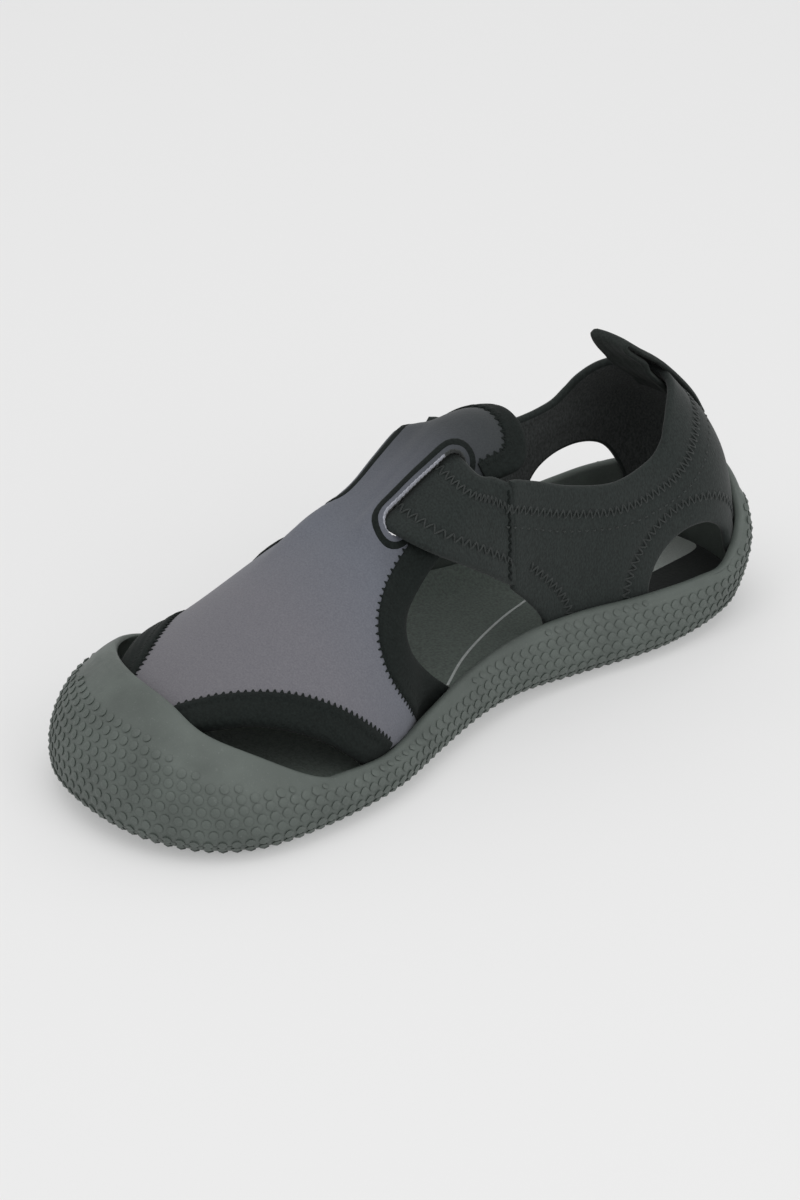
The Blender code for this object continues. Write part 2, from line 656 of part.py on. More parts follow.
def strap_grid():
    """Middle of the strap, from the inner seam through both slots to its free end."""
    share = np.linspace(0, 1, STRAP_ACROSS)[:, None]
    y = np.linspace(SLOT_BACK - STRAP_SLOT_ROOM, SLOT_FRONT + STRAP_SLOT_ROOM, STRAP_ACROSS)
    heights = np.linspace(COLLAR[-1][1], SEAM_LOW[1], STRAP_ACROSS)
    seam, seam_normal = quarter_surface(np.full_like(y, STRAP_SEAM + 2 * GAP), heights)
    rows = [seam - seam_normal * NEOPRENE / 2]
    rows += [np.array(row[:3]) * (1 - share) + np.array(row[3:]) * share for row in STRAP_INNER]
    near, far = slot_edges(y, True)
    outer_near, outer_far = slot_edges(y, False)
    places = (((near + far) / 2, STRAP_THROUGH), (near, STRAP_UNDER), ((near - outer_near) / 2, STRAP_UNDER),
              (-outer_near, STRAP_UNDER), (-(outer_near + outer_far) / 2, STRAP_THROUGH),
              (-outer_far, STRAP_OVER))
    for across, height in places:
        point, normal = vamp_surface(y, across)
        rows.append(point + normal * height)
    rows += [np.array(row[:3]) * (1 - share) + np.array(row[3:]) * share for row in STRAP_OUTER]
    line = smooth_path([row.reshape(-1) for row in rows], STRAP_STEP * math.sqrt(STRAP_ACROSS))
    return line.reshape(len(line), STRAP_ACROSS, 3)


# Free fold of the heel loop: place along the shoe and height at its outer edge, then at its inner edge
TAB_FOLD = [
    (69.2, 60.4, 69.2, 60.4),
    (64.6, 63.9, 64.6, 63.9),
    (61.2, 66.6, 61.2, 66.6),
    (59.5, 67.9, 59.5, 67.9),
    (58.6, 67.5, 58.7, 67.5),
    (58.9, 66.2, 59.4, 66.1),
    (60.3, 64.0, 62.0, 63.9),
    (62.3, 61.5, 64.6, 61.6),
    (64.5, 58.7, 65.9, 58.8),
]


def heel_back(across, z, height):
    """A row of points over (or under) the back upper's outer face, level across the heel."""
    wrap = np.linspace(-4 * TAB_HALF_WIDTH, 4 * TAB_HALF_WIDTH, 81)
    point, normal = quarter_surface(wrap, np.full_like(wrap, z))
    line = point + normal * height
    return np.stack([across] + [np.interp(across, line[:, 0], line[:, i]) for i in (1, 2)], -1)


def tab_grid():
    """Middle of the heel loop: up the back, over its free fold and down inside the collar."""
    middle = BALL_WIDTH * PLAN["centre"][-1] + TAB_SHIFT
    across = middle + np.linspace(-TAB_HALF_WIDTH, TAB_HALF_WIDTH, TAB_COLUMNS)
    half = WEBBING / 2 + 2 * GAP
    rows = [heel_back(across, z, half) for z in TAB_OUTSIDE]
    bend = rows[-1][:, 1] - rows[-1][:, 1].max()
    inner = np.linspace(0, 1, TAB_COLUMNS)
    for outer_y, outer_z, inner_y, inner_z in TAB_FOLD:
        y = outer_y + (inner_y - outer_y) * inner
        z = outer_z + (inner_z - outer_z) * inner
        rows.append(np.stack([across, y + bend, z], -1))
    rows += [heel_back(across, z, -NEOPRENE - half) for z in TAB_INSIDE]
    line = smooth_path([row.reshape(-1) for row in rows], TAB_STEP * math.sqrt(TAB_COLUMNS))
    return line.reshape(len(line), TAB_COLUMNS, 3)


def cap_front(x):
    """Where the edge of the toe cap lies along the shoe, at a place across it."""
    edge, share = wall_edge(ring_angles())
    cap = edge[share > 0]
    order = np.argsort(cap[:, 0])
    return np.interp(x, cap[order, 0], cap[order, 1])


def binding_grid(edge, width, sign):
    """Middle of an edge tape: a strip of the vamp's own surface along one of its edges."""
    along = np.gradient(edge, axis=0)
    along /= np.linalg.norm(along, axis=1, keepdims=True)
    inwards = np.stack([along[:, 1], -along[:, 0]], -1)
    columns = []
    for share in (0.0, 0.5, 1.0):
        y, across = (edge + inwards * width * share).T
        place = vamp_surface(y, sign * across)[0]
        y = np.maximum(y, cap_front(place[:, 0]) + CAP_CLEARANCE)
        point, normal = vamp_surface(y, sign * across)
        columns.append(point + normal * (TAPE_LIFT + TAPE / 2))
    grid = np.stack(columns, axis=1)
    over_rim = (grid[:, :, 2] > rim(grid[:, :, 1], grid[:, :, 0] > 0) + TAPE).all(axis=1)
    behind_cap = edge[:, 0] > cap_front(grid[:, 0, 0]) + CAP_CLEARANCE
    return grid[over_rim & behind_cap]


def side_tape_edge(cut):
    """The part of a side window's edge that carries tape: from the rim to just under the strap."""
    edge = smooth_path(cut, TAPE_STEP)
    foremost = edge[:, 0].argmin()
    return edge[(np.arange(len(edge)) < foremost) | (edge[:, 0] < SIDE_TAPE_END)]


def material(name, colour, roughness):
    """A plain material in the colour of the piece."""
    made = bpy.data.materials.new(name)
    made.use_nodes = True
    shader = made.node_tree.nodes["Principled BSDF"]
    shader.inputs["Base Color"].default_value = (*colour, 1.0)
    shader.inputs["Roughness"].default_value = roughness
    shader.inputs["Metallic"].default_value = 0.0
    return made


def add_object(name, solid, finish, parent):
    """Make one named object of a solid, facing out, scaled to metres."""
    points, faces = solid
    mesh = bpy.data.meshes.new(name)
    mesh.from_pydata([tuple(p * MILLIMETRE) for p in points], [], faces)
    shape = bmesh.new()
    shape.from_mesh(mesh)
    bmesh.ops.recalc_face_normals(shape, faces=shape.faces)
    shape.to_mesh(mesh)
    shape.free()
    mesh.shade_smooth()
    mesh.set_sharp_from_angle(angle=math.radians(40))
    if finish:
        mesh.materials.append(finish)
    made = bpy.data.objects.new(name, mesh)
    bpy.context.collection.objects.link(made)
    made.parent = parent
    return made


def groove_boxes():
    """Boxes that cut plain cross grooves into the two pads of the tread."""
    points, faces = [], []
    for front, back in (FOREFOOT_PAD, HEEL_PAD):
        count = int((back - front - GROOVE_PITCH) // GROOVE_PITCH) + 1
        first = (front + back) / 2 - GROOVE_PITCH * (count - 1) / 2
        for i in range(count):
            y = first + i * GROOVE_PITCH
            medial = cup_side(y, True) + UPPER_INSET - GROOVE_MARGIN
            lateral = cup_side(y, False) - UPPER_INSET + GROOVE_MARGIN
            start = len(points)
            for z in (-GROOVE_DEPTH, GROOVE_DEPTH):
                for dy in (-GROOVE_WIDTH / 2, GROOVE_WIDTH / 2):
                    points += [(lateral, y + dy, z), (medial, y + dy, z)]
            for quad in ((0, 1, 3, 2), (4, 6, 7, 5), (0, 4, 5, 1), (2, 3, 7, 6), (0, 2, 6, 4), (1, 5, 7, 3)):
                faces.append(tuple(start + i for i in quad))
    return np.array(points), faces


def add_outsole(parent):
    """The cup sole with its cap, and the grooves cut into its tread."""
    rubber = material("rubber", (0.098, 0.114, 0.105), 0.55)
    sole = add_object("outsole", ring_solid(cup_rows()), rubber, parent)
    cutter = add_object("groove_cutter", groove_boxes(), None, parent)
    cutter.hide_render = True
    cutter.display_type = "WIRE"
    cut = sole.modifiers.new("grooves", "BOOLEAN")
    cut.operation = "DIFFERENCE"
    cut.solver = "EXACT"
    cut.object = cutter


def add_upper(parent):
    """The vamp, the back upper, the strap, the heel loop and the edge tapes."""
    print_cloth = material("printed_neoprene", (0.165, 0.162, 0.185), 0.85)
    black_cloth = material("black_neoprene", (0.024, 0.030, 0.029), 0.85)
    tape = material("tape", (0.020, 0.026, 0.024), 0.8)
    vamp = panel_solid(vamp_loop(), [slot_loop(1), slot_loop(-1)], vamp_surface, NEOPRENE)
    quarter = panel_solid(quarter_loop(), [], quarter_surface, NEOPRENE)
    add_object("upper_vamp", vamp, print_cloth, parent)
    add_object("upper_quarter", quarter, black_cloth, parent)
    add_object("strap", slab_solid(strap_grid(), NEOPRENE), black_cloth, parent)
    add_object("pull_tab", slab_solid(tab_grid(), WEBBING), tape, parent)
    tongue_edge = smooth_path(TONGUE_END, TAPE_STEP)
    tongue_edge = tongue_edge[tongue_edge[:, 0] > TONGUE_TAPE_END]
    sides = (("medial", 1, TOE_CUT, SIDE_CUT), ("lateral", -1, OUTER_TOE_CUT, OUTER_SIDE_CUT))
    for side, sign, toe_cut, side_cut in sides:
        for place, edge in (("toe", smooth_path(toe_cut, TAPE_STEP)), ("side", side_tape_edge(side_cut))):
            strip = slab_solid(binding_grid(edge, BINDING_WIDTH, sign), TAPE)
            add_object("binding_" + place + "_" + side, strip, tape, parent)
    strip = slab_solid(binding_grid(tongue_edge, TONGUE_BINDING_WIDTH, 1), TAPE)
    add_object("binding_tongue", strip, tape, parent)


def clear_scene():
    """Remove what the file starts with."""
    for item in list(bpy.data.objects):
        bpy.data.objects.remove(item, do_unlink=True)


def stand_on_origin(root):
    """Move the whole shoe so that the origin is under the middle of its box."""
    bpy.context.view_layer.update()
    corners = [np.array(made.matrix_world @ vertex.co)
               for made in root.children if not made.hide_render for vertex in made.data.vertices]
    low, high = np.min(corners, axis=0), np.max(corners, axis=0)
    root.location = (-(low[0] + high[0]) / 2, -(low[1] + high[1]) / 2, -low[2])


def main():
    clear_scene()
    root = bpy.data.objects.new("shoe", None)
    bpy.context.collection.objects.link(root)
    add_outsole(root)
    add_object("insole", ring_solid(insole_rows()), material("footbed", (0.040, 0.048, 0.042), 0.9), root)
    add_upper(root)
    stand_on_origin(root)


main()
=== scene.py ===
"""Looks of a child's closed-toe water shoe, right foot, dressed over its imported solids.

The toe points to -Y, the inner (medial) side of the foot is +X and the floor is z = 0.
Shapes are worked out in millimetres about the last's own origin, then placed in the part's frame in metres.
"""
import math

import bmesh
import bpy
import numpy as np
from mathutils import Matrix, Vector
from mathutils.geometry import delaunay_2d_cdt


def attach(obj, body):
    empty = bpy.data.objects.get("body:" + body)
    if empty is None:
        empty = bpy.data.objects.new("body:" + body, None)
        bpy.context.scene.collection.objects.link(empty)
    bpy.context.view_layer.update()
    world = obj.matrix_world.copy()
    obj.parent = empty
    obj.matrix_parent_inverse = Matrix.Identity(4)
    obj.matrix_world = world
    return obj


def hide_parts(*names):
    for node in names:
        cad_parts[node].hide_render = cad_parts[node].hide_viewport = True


MILLIMETRE = 0.001
LAST_ORIGIN = np.array([-0.803, 0.399, 0.0])
SHARP_ANGLE = math.radians(58)

# Driving sizes of the last
LENGTH = 178.5
BALL_WIDTH = 72.0
INSTEP_HEIGHT = 63.5
HEEL_HEIGHT = 61.0

# Sizes of the materials
GAP = 0.3
NEOPRENE = 2.0
WEBBING = 1.2
INSOLE_THICKNESS = 2.6
INSOLE_ROUND = 0.8
INSOLE_LIP = 5.4
INSOLE_LIP_WIDTH = 7.0
INSOLE_LIP_START = (-4.0, 8.0)
INSOLE_LIP_END = (32.0, 41.0)
INSOLE_LIP_POWER = 1.6
INSOLE_LIP_ROWS = 7
INSOLE_ROUND_ROWS = 9
CAP_WALL = 2.2

# Sizes of the cup sole
HALF_LENGTH = LENGTH / 2
RING_STATIONS = 320
TOE_ROUND = 0.19 * LENGTH
TOE_POWER = 2.2
HEEL_ROUND = 0.15 * LENGTH
HEEL_POWER = 2.5
SOLE_UNDER_INSOLE = 4.6
BULGE_RISE = 6.5
CUP_INSET = 4.6
RIM_INSET = 1.6
RIM_LIP = 2.6
RIM_TUCK = 0.27
RIM_TUCK_FROM = 24.0
RIM_THINNING = 0.06
RIM_THINNING_FROM = 16.0
RIM_ROUND = 0.6
RIM_INNER_DROP = 0.2
WALL_TURN = 80.0
CAP_TURN = 60.0
TOE_SPRING = 2.2
ARCH_RISE = 1.3
HEEL_BEVEL = 0.5
HEEL_UNDERCUT = 5.6
HEEL_UNDERCUT_TOP = 19.0
HEEL_UNDERCUT_POWER = 1.5
HEEL_UNDERCUT_SPAN = (0.28 * LENGTH, 0.46 * LENGTH)
FOREFOOT_PAD = (-0.36 * LENGTH, -0.13 * LENGTH)
HEEL_PAD = (0.20 * LENGTH, 0.44 * LENGTH)
CAP_CORNER_Y = -0.27 * LENGTH
CAP_TOP = (2.0, -0.407 * LENGTH, 0.45 * INSTEP_HEIGHT)
CAP_CLIMB_MEDIAL = 1.5
CAP_CLIMB_LATERAL = 1.0
CAP_SCOOP = 2.7
CAP_SCOOP_MIDDLE = 0.63
CAP_SCOOP_SPREAD = 0.18
CAP_LIP = 0.9
CAP_FLATTER = 0.5
WALL_ROWS = 26
LIP_ROWS = 8
GROOVE_WIDTH = 2.0
GROOVE_DEPTH = 1.5
GROOVE_PITCH = 9.0
GROOVE_MARGIN = 13.0
BOX_FACES = [(0, 1, 3, 2), (4, 6, 7, 5), (0, 4, 5, 1), (2, 3, 7, 6), (0, 2, 6, 4), (1, 5, 7, 3)]

# Sizes of the relief moulded into the sole
BAND_SIDE = 0.3
BAND_CAP = 7.6
FIELD_RECESS = 0.38
FIELD_TOP_SIDE = 24.0
FIELD_FADE_TOP = 1.4
FIELD_FADE_LOW = 1.0
FIELD_CAP_SHARE = 0.5
PARTING_RISE = 3.5
PARTING_DEPTH = 0.5
PARTING_HALF_HEIGHT = 0.22
PARTING_REACH = (0.16, 0.24)
BUMP_ROWS = 14
BUMP_ROWS_BELOW = 2
BUMP_ROW_PITCH = 2.55
BUMP_PITCH_SIDE = 2.6
BUMP_PITCH_CAP = 2.95
BUMP_RADIUS = 0.75
BUMP_HEIGHT = 0.62
BUMP_SEGMENTS = 10
BUMP_FADE = 1.4
BUMP_SMALLEST = 0.2
BUMP_SHRUNK = 0.55
BUMP_PITCH_SHARE = 0.4
BUMP_CAP_SHARE = 0.45
BUMP_POWER_SIDE = 1.35
BUMP_POWER_CAP = 2.0
BUMP_WIDE_SIDE = 1.18
BUMP_WIDE_CAP = 1.04
BUMP_TOP = 1.02

# Section of one bump: radius and height of each ring, as shares of the whole
BUMP_PROFILE = [(1.30, -0.35), (1.14, 0.04), (0.98, 0.30), (0.78, 0.62), (0.52, 0.88), (0.26, 0.99)]

# Sizes of the upper
UPPER_INSET = CUP_INSET - 0.6
PANEL_STEP = 1.15
PANEL_CLEAR = 0.55 * PANEL_STEP
EDGE_ROWS = 6
CUT_ROWS = 3
CURVE_STEPS = 40
ARC_SAMPLES = 161
SIDE_SAMPLES = 720
WRAP_TURN = 2.6
WRAP_SAMPLES = 1561
VAMP_NORMAL_STEP = 0.3
QUARTER_NORMAL_STEP = 0.8
VAMP_EDGE_BULGE = 0.2
SLOT_MEDIAL = 6.7
SLOT_LATERAL = 11.8
SLOT_WIDTH = 6.2
SLOT_SLANT = 2.1
SLOT_FRONT = -12.8
SLOT_BACK = 8.4
SLOT_LINE = 1.75
SLOT_LINE_DIP = 0.22
SLOT_LINE_SPREAD = 1.4
SLOT_EDGE_NEAR = 0.2
SLOT_EDGE_BULGE = 0.3
SLOT_END_STEPS = 14
SLOT_TOOTH = 0.06
SLOT_TOOTH_STEP = 0.5
SLOT_LIGHT_END = SLOT_BACK - 3.4
RELIEF_FRONT = (SLOT_FRONT - 9.0, SLOT_FRONT - 1.0)
RELIEF_FRONT_LATERAL = (SLOT_FRONT - 26.0, SLOT_FRONT - 3.0)
RELIEF_BACK = (SLOT_BACK - 2.0, SLOT_BACK + 5.0)
RELIEF_SPREAD = 4.0
RELIEF_MARGIN = 2.0
LIFT_MEDIAL = 1.6
LIFT_LATERAL = 3.8
LIFT_LATERAL_FRONT = 0.62
SINK_MEDIAL = 1.0
SINK_LATERAL = 2.6
TAPE_STEP = 1.0
TAPE_TUCK = 4.5
TAPE_FACE = 0.1
TAPE_PRESSED = 0.22
TAPE_RIM_SPAN = (-0.5, 2.5)
TAPE_CAP_SPAN = (-1.0, 2.0)
TOE_TAPE_INSET = 1.5
SIDE_TAPE_END = -3.0
SIDE_TAPE_WIDENING = 1.34
TONGUE_TAPE_WIDTH = 0.78
TONGUE_TAPE_HEIGHT = 0.8
STRAP_SEAM = 84.0
STRAP_ACROSS = 5
STRAP_COLUMNS = 41
STRAP_HALF_UPPER = 1.15
STRAP_EDGE_UPPER = 1.6
STRAP_HALF_LOWER = 1.0
STRAP_EDGE_LOWER = 1.4
STRAP_STEP = 1.0
STRAP_SLOT_ROOM = 0.2
STRAP_THROUGH = -1.1
STRAP_UNDER = -3.9
STRAP_OVER = 1.7
TAB_HALF_WIDTH = 6.0
TAB_STEP = 0.7
TAB_COLUMNS = 5
TAB_FINE_COLUMNS = 21
TAB_EDGE = 0.7
HEEL_SAMPLES = 241
COLUMN_STEP = 0.05
EDGE_LEAST = 0.0004
TAB_SHIFT = -1.7
TAB_OUTSIDE = (44.0, 49.0, 54.0)
TAB_INSIDE = (55.8, 54.4, 53.0)

# Sizes of the sewing
THREAD = 0.23
THREAD_RISE = 0.2
THREAD_RINGS = 6
THREAD_SIDES = 6
THREAD_BOW = 0.6
THREAD_SINK = 0.6
THREAD_END = 0.55
THREAD_SWELL = 2.2
STITCH_PITCH = 1.95
TOE_STITCH_PITCH = 1.6
SIDE_STITCH_PITCH = 1.45
TAPE_STITCH = (4.4, 6.6)
TAPE_STITCH_PAST = 0.7
TAPE_STITCH_TOP = 0.78
TAPE_STITCH_LOW = 0.12
TAPE_STITCH_CLEAR = 0.3
TONGUE_STITCH = (3.4, 5.8)
TONGUE_STITCH_TOP = 0.62
STITCH_WIDTH = 2.3
STITCH_EDGE = 5.6
STITCH_DIP = 0.3
STITCH_SPREAD = 1.3
DASH_EDGE = 9.6
DASH_PITCH = 2.1
STRAP_ROW_SPAN = (0.01, 0.985)
SEAM_STITCHES = 25
SEAM_ACROSS = (0.05, 0.95)
SEAM_ALONG = (0.012, 0.026)
SEAM_THREAD = 0.28
SEAM_RISE = 0.26

# Camera: where the photographer stood, the way up of the picture and what it looks at
CAMERA_PLACE = (0.568, -0.4116, 0.404)
CAMERA_UP = (-0.392, 0.329, 0.859)
CAMERA_TARGET = (0.002, -0.006, 0.026)
CAMERA_LENS = 108.0
CAMERA_SENSOR = 36.0


def table(columns, rows):
    """A short table with named columns; the first column is the one looked up."""
    values = np.array(rows, float)
    return {name: values[:, i] for i, name in enumerate(columns.split())}


# Plan of the sole: shares of the length, and of the ball width
PLAN = table("along centre half", [
    (-0.50, 0.020, 0.502),
    (-0.34, 0.018, 0.502),
    (-0.25, 0.012, 0.504),
    (-0.17, -0.008, 0.490),
    (-0.08, -0.045, 0.440),
    (0.00, -0.062, 0.393),
    (0.08, -0.065, 0.360),
    (0.17, -0.050, 0.350),
    (0.25, -0.026, 0.352),
    (0.34, -0.013, 0.353),
    (0.50, -0.012, 0.352),
])

# Lower side of the sole: how far it is in from the outline at a height over the underside
LOWER_SIDE = table("rise inset", [
    (0.0, 7.0),
    (0.7, 3.4),
    (1.5, 2.1),
    (2.3, 1.15),
    (3.3, 0.50),
    (4.5, 0.08),
    (BULGE_RISE, 0.0),
])
LOWER_RISES = (0.0, 0.3, 0.7, 1.1, 1.5, 1.9, 2.3, 2.7, 3.0, 3.15, 3.3, 3.4, 3.5, 3.6, 3.7, 3.85, 4.2, 4.8,
               5.6, BULGE_RISE)

# Top of the sole's side wall: shares of the length, and of the heel height
RIM = table("along medial lateral", [
    (-0.50, 0.195, 0.280),
    (-0.27, 0.195, 0.275),
    (-0.17, 0.165, 0.260),
    (-0.08, 0.195, 0.270),
    (0.00, 0.235, 0.295),
    (0.10, 0.265, 0.330),
    (0.18, 0.268, 0.365),
    (0.27, 0.255, 0.405),
    (0.36, 0.250, 0.418),
    (0.42, 0.265, 0.418),
    (0.46, 0.365, 0.430),
    (0.48, 0.460, 0.460),
    (0.50, 0.560, 0.560),
])

# Ridge of the vamp: shares of the length, ball width and instep height
RIDGE = table("along side crest base", [
    (-0.44, 0.022, 0.308, 0.12),
    (-0.405, 0.022, 0.393, 0.14),
    (-0.36, 0.020, 0.450, 0.16),
    (-0.30, 0.016, 0.506, 0.16),
    (-0.25, 0.012, 0.556, 0.16),
    (-0.17, 0.007, 0.650, 0.16),
    (-0.118, 0.007, 0.714, 0.17),
    (-0.067, 0.005, 0.790, 0.19),
    (0.00, 0.000, 0.910, 0.22),
    (0.05, -0.003, 0.985, 0.26),
    (0.095, -0.003, 1.000, 0.29),
    (0.155, 0.000, 0.953, 0.29),
])
TONGUE_HALF = 0.285 * BALL_WIDTH
TONGUE_BLEND = (-26.0, -4.0)

# Back of the upper: shares of the heel height, the lean in millimetres and how much each side narrows
HEEL_CURVE = table("height lean inner outer", [
    (0.10, 0.0, 0.00, 0.00),
    (0.32, 0.2, 0.00, 0.00),
    (0.46, 0.9, 0.00, 0.00),
    (0.54, 1.5, 0.02, 0.00),
    (0.67, 3.4, 0.09, 0.03),
    (0.79, 6.8, 0.22, 0.10),
    (0.90, 11.8, 0.38, 0.22),
    (1.05, 18.5, 0.56, 0.38),
])
LEAN_SPAN = (20.0, 80.0)
NARROW_SPAN = (30.0, 62.0)


def read(columns, name, at):
    """Read a column smoothly, as a cubic through the rows."""
    places = columns[list(columns)[0]]
    values = columns[name]
    slopes = np.gradient(values, places)
    at = np.clip(np.asarray(at, float), places[0], places[-1])
    left = np.clip(np.searchsorted(places, at) - 1, 0, len(places) - 2)
    width = places[left + 1] - places[left]
    s = (at - places[left]) / width
    return ((1 + 2 * s) * (1 - s) ** 2 * values[left] + s * (1 - s) ** 2 * width * slopes[left]
            + s * s * (3 - 2 * s) * values[left + 1] + s * s * (s - 1) * width * slopes[left + 1])


def ease(start, end, value):
    """Smooth step from 0 at start to 1 at end."""
    s = np.clip((np.asarray(value, float) - start) / (end - start), 0, 1)
    return s * s * (3 - 2 * s)


def blend(first, second, share):
    """A value between two others."""
    return first + (second - first) * share


def bell(distance, spread):
    """A smooth fall from 1 at no distance towards 0."""
    return np.exp(-(distance / spread) ** 2)


def unit(vectors):
    """Vectors brought to length one."""
    return vectors / np.linalg.norm(vectors, axis=-1, keepdims=True)


def right_of(along):
    """Flat steps turned to the right of their way along."""
    return np.stack([along[..., 1], -along[..., 0]], -1)


def run_lengths(points):
    """Length along runs of points, from the first point to each."""
    steps = np.linalg.norm(np.diff(points, axis=0), axis=-1)
    return np.concatenate([np.zeros_like(steps[:1]), np.cumsum(steps, axis=0)])


def look_up(at, places, values):
    """Each column of a list of values, read between its places."""
    return np.stack([np.interp(at, places, column) for column in values.T], -1)


def by_turns(count, first, second):
    """Two values in turn, in a column."""
    return np.where(np.arange(count) % 2 == 0, first, second)[:, None]


def outline(angle):
    """Widest outline of the sole, from the heel (0) round the inner side to the toe (pi)."""
    y = HALF_LENGTH * np.cos(angle)
    toe = np.clip((-HALF_LENGTH + TOE_ROUND - y) / TOE_ROUND, 0, 1)
    heel = np.clip((y - HALF_LENGTH + HEEL_ROUND) / HEEL_ROUND, 0, 1)
    rounding = ((1 - toe ** TOE_POWER) ** (1 / TOE_POWER)
                * (1 - heel ** HEEL_POWER) ** (1 / HEEL_POWER))
    half = BALL_WIDTH * read(PLAN, "half", y / LENGTH) * rounding
    centre = BALL_WIDTH * read(PLAN, "centre", y / LENGTH)
    return np.stack([centre + np.sign(np.sin(angle)) * half, y], -1)


def plan(angle, inset):
    """The outline moved inwards by an inset."""
    small = 0.001
    along = unit(outline(angle + small) - outline(angle - small))
    return outline(angle) + right_of(along) * np.asarray(inset, float)[..., None]


def bottom(y):
    """Underside of the sole: two flat pads, the arch between them, toe spring and heel bevel."""
    y = np.asarray(y, float)
    toe = np.clip((FOREFOOT_PAD[0] - y) / (HALF_LENGTH + FOREFOOT_PAD[0]), 0, 1)
    arch = np.clip((y - FOREFOOT_PAD[1]) / (HEEL_PAD[0] - FOREFOOT_PAD[1]), 0, 1)
    heel = np.clip((y - HEEL_PAD[1]) / (HALF_LENGTH - HEEL_PAD[1]), 0, 1)
    return TOE_SPRING * toe ** 2 + ARCH_RISE * np.sin(math.pi * arch) ** 2 + HEEL_BEVEL * heel ** 2


def rim(y, medial):
    """Height of the top of the side wall, on the inner or the outer side."""
    along = np.asarray(y) / LENGTH
    return HEEL_HEIGHT * np.where(medial, read(RIM, "medial", along), read(RIM, "lateral", along))


def ring_angles(count=RING_STATIONS):
    """Even stations round a ring; with the sole's count, they face each other in pairs across it."""
    return np.linspace(0, 2 * math.pi, count, endpoint=False)


def with_height(flat, height):
    """Join plan points and heights."""
    return np.concatenate([flat, np.broadcast_to(height, flat.shape[:1])[:, None]], -1)


def wall_edge(angle):
    """Outer edge of the side wall, which climbs over the toes as the cap; and how far it is cap."""
    corner_angle = math.acos(CAP_CORNER_Y / HALF_LENGTH)
    folded = np.where(angle > math.pi, 2 * math.pi - angle, angle)
    share = np.clip((folded - corner_angle) / (math.pi - corner_angle), 0, 1)
    medial = angle <= math.pi
    height = rim(outline(angle)[:, 1], medial)
    side = plan(angle, RIM_INSET + RIM_TUCK * np.maximum(height - RIM_TUCK_FROM, 0))
    edge = with_height(side, height - RIM_ROUND)
    sides = ((corner_angle, True, CAP_CLIMB_MEDIAL, CAP_SCOOP),
             (2 * math.pi - corner_angle, False, CAP_CLIMB_LATERAL, 0.0))
    for corner, inner, climb, scoop in sides:
        chosen = (share > 0) & (medial == inner)
        foot = plan(np.array([corner]), RIM_INSET)[0]
        foot_z = rim(foot[1], inner) - RIM_ROUND
        turn = share[chosen] * math.pi / 2
        dip = scoop * bell(share[chosen] - CAP_SCOOP_MIDDLE, CAP_SCOOP_SPREAD)
        edge[chosen, 0] = blend(CAP_TOP[0], foot[0], np.cos(turn))
        edge[chosen, 1] = blend(foot[1], CAP_TOP[1], np.sin(turn)) - dip
        edge[chosen, 2] = blend(foot_z, CAP_TOP[2], np.sin(turn) ** climb)
    return edge, share


def wall_row(low, edge, share, s):
    """A row of the wall at share s of the way up its rounded path from the bulge to the edge."""
    turn = np.radians(blend(WALL_TURN, CAP_TURN, share))
    inwards = (1 - np.cos(s * turn)) / (1 - np.cos(turn))
    upwards = np.sin(s * turn) / np.sin(turn)
    return blend(low, edge, np.stack([inwards, inwards, upwards], -1))


def cup_rows():
    """Rows of the cup sole from the tread up to the edge, over the lip and down inside."""
    angle = ring_angles()
    parting = PARTING_DEPTH * (1 - ease(*PARTING_REACH, np.abs(angle / math.pi - 1)))
    outer = []
    for rise in LOWER_RISES:
        groove = parting * bell(rise - PARTING_RISE, PARTING_HALF_HEIGHT)
        flat = plan(angle, read(LOWER_SIDE, "inset", rise) + groove)
        outer.append(with_height(flat, bottom(flat[:, 1]) + rise))
    edge, share = wall_edge(angle)
    low = outer[-1]
    outer += [wall_row(low, edge, share, step / WALL_ROWS) for step in range(1, WALL_ROWS + 1)]
    toward_middle = plan(angle, 1.0) - outline(angle)
    for row in outer:
        up = np.clip(row[:, 2] / HEEL_UNDERCUT_TOP, 0, 1)
        depth = HEEL_UNDERCUT * (1 - up) ** HEEL_UNDERCUT_POWER * ease(*HEEL_UNDERCUT_SPAN, row[:, 1])
        row[:, :2] += toward_middle * depth[:, None]
    inside = plan(angle, CUP_INSET)
    inner_low = with_height(inside, bottom(inside[:, 1]) + BULGE_RISE)
    inwards = unit(edge[:, :2] - outline(angle))
    lip_width = RIM_LIP - RIM_THINNING * np.maximum(edge[:, 2] - RIM_THINNING_FROM, 0) * (1 - share)
    inner_edge = edge.copy()
    inner_edge[:, :2] += inwards * blend(lip_width, CAP_LIP, share)[:, None]
    inner_edge[:, 2] -= blend(RIM_INNER_DROP, CAP_WALL, share)
    raised = with_height(inwards * (RIM_ROUND * share)[:, None], RIM_ROUND * (1 - CAP_FLATTER * share))
    peak = (edge + inner_edge) / 2 + 2 * raised
    inner = []
    for t in np.arange(1, LIP_ROWS) / LIP_ROWS:
        inner.append((1 - t) ** 2 * edge + 2 * t * (1 - t) * peak + t * t * inner_edge)
    for step in range(WALL_ROWS, -1, -2):
        inner.append(wall_row(inner_low, inner_edge, share, step / WALL_ROWS))
    floor = plan(angle, CUP_INSET + GAP)
    inner.append(with_height(floor, bottom(floor[:, 1]) + SOLE_UNDER_INSOLE))
    return np.array(outer), np.array(inner), share


def grid_normals(grid):
    """Normals of a grid of points that closes round its second axis."""
    around = np.roll(grid, -1, axis=1) - np.roll(grid, 1, axis=1)
    return unit(np.cross(around, np.gradient(grid, axis=0)))


def ring_faces(row_count, count):
    """Quads between neighbouring rows of a ring."""
    faces = []
    for row in range(row_count - 1):
        low, high = row * count, (row + 1) * count
        for k in range(count):
            after = (k + 1) % count
            faces.append((low + k, low + after, high + after, high + k))
    return faces


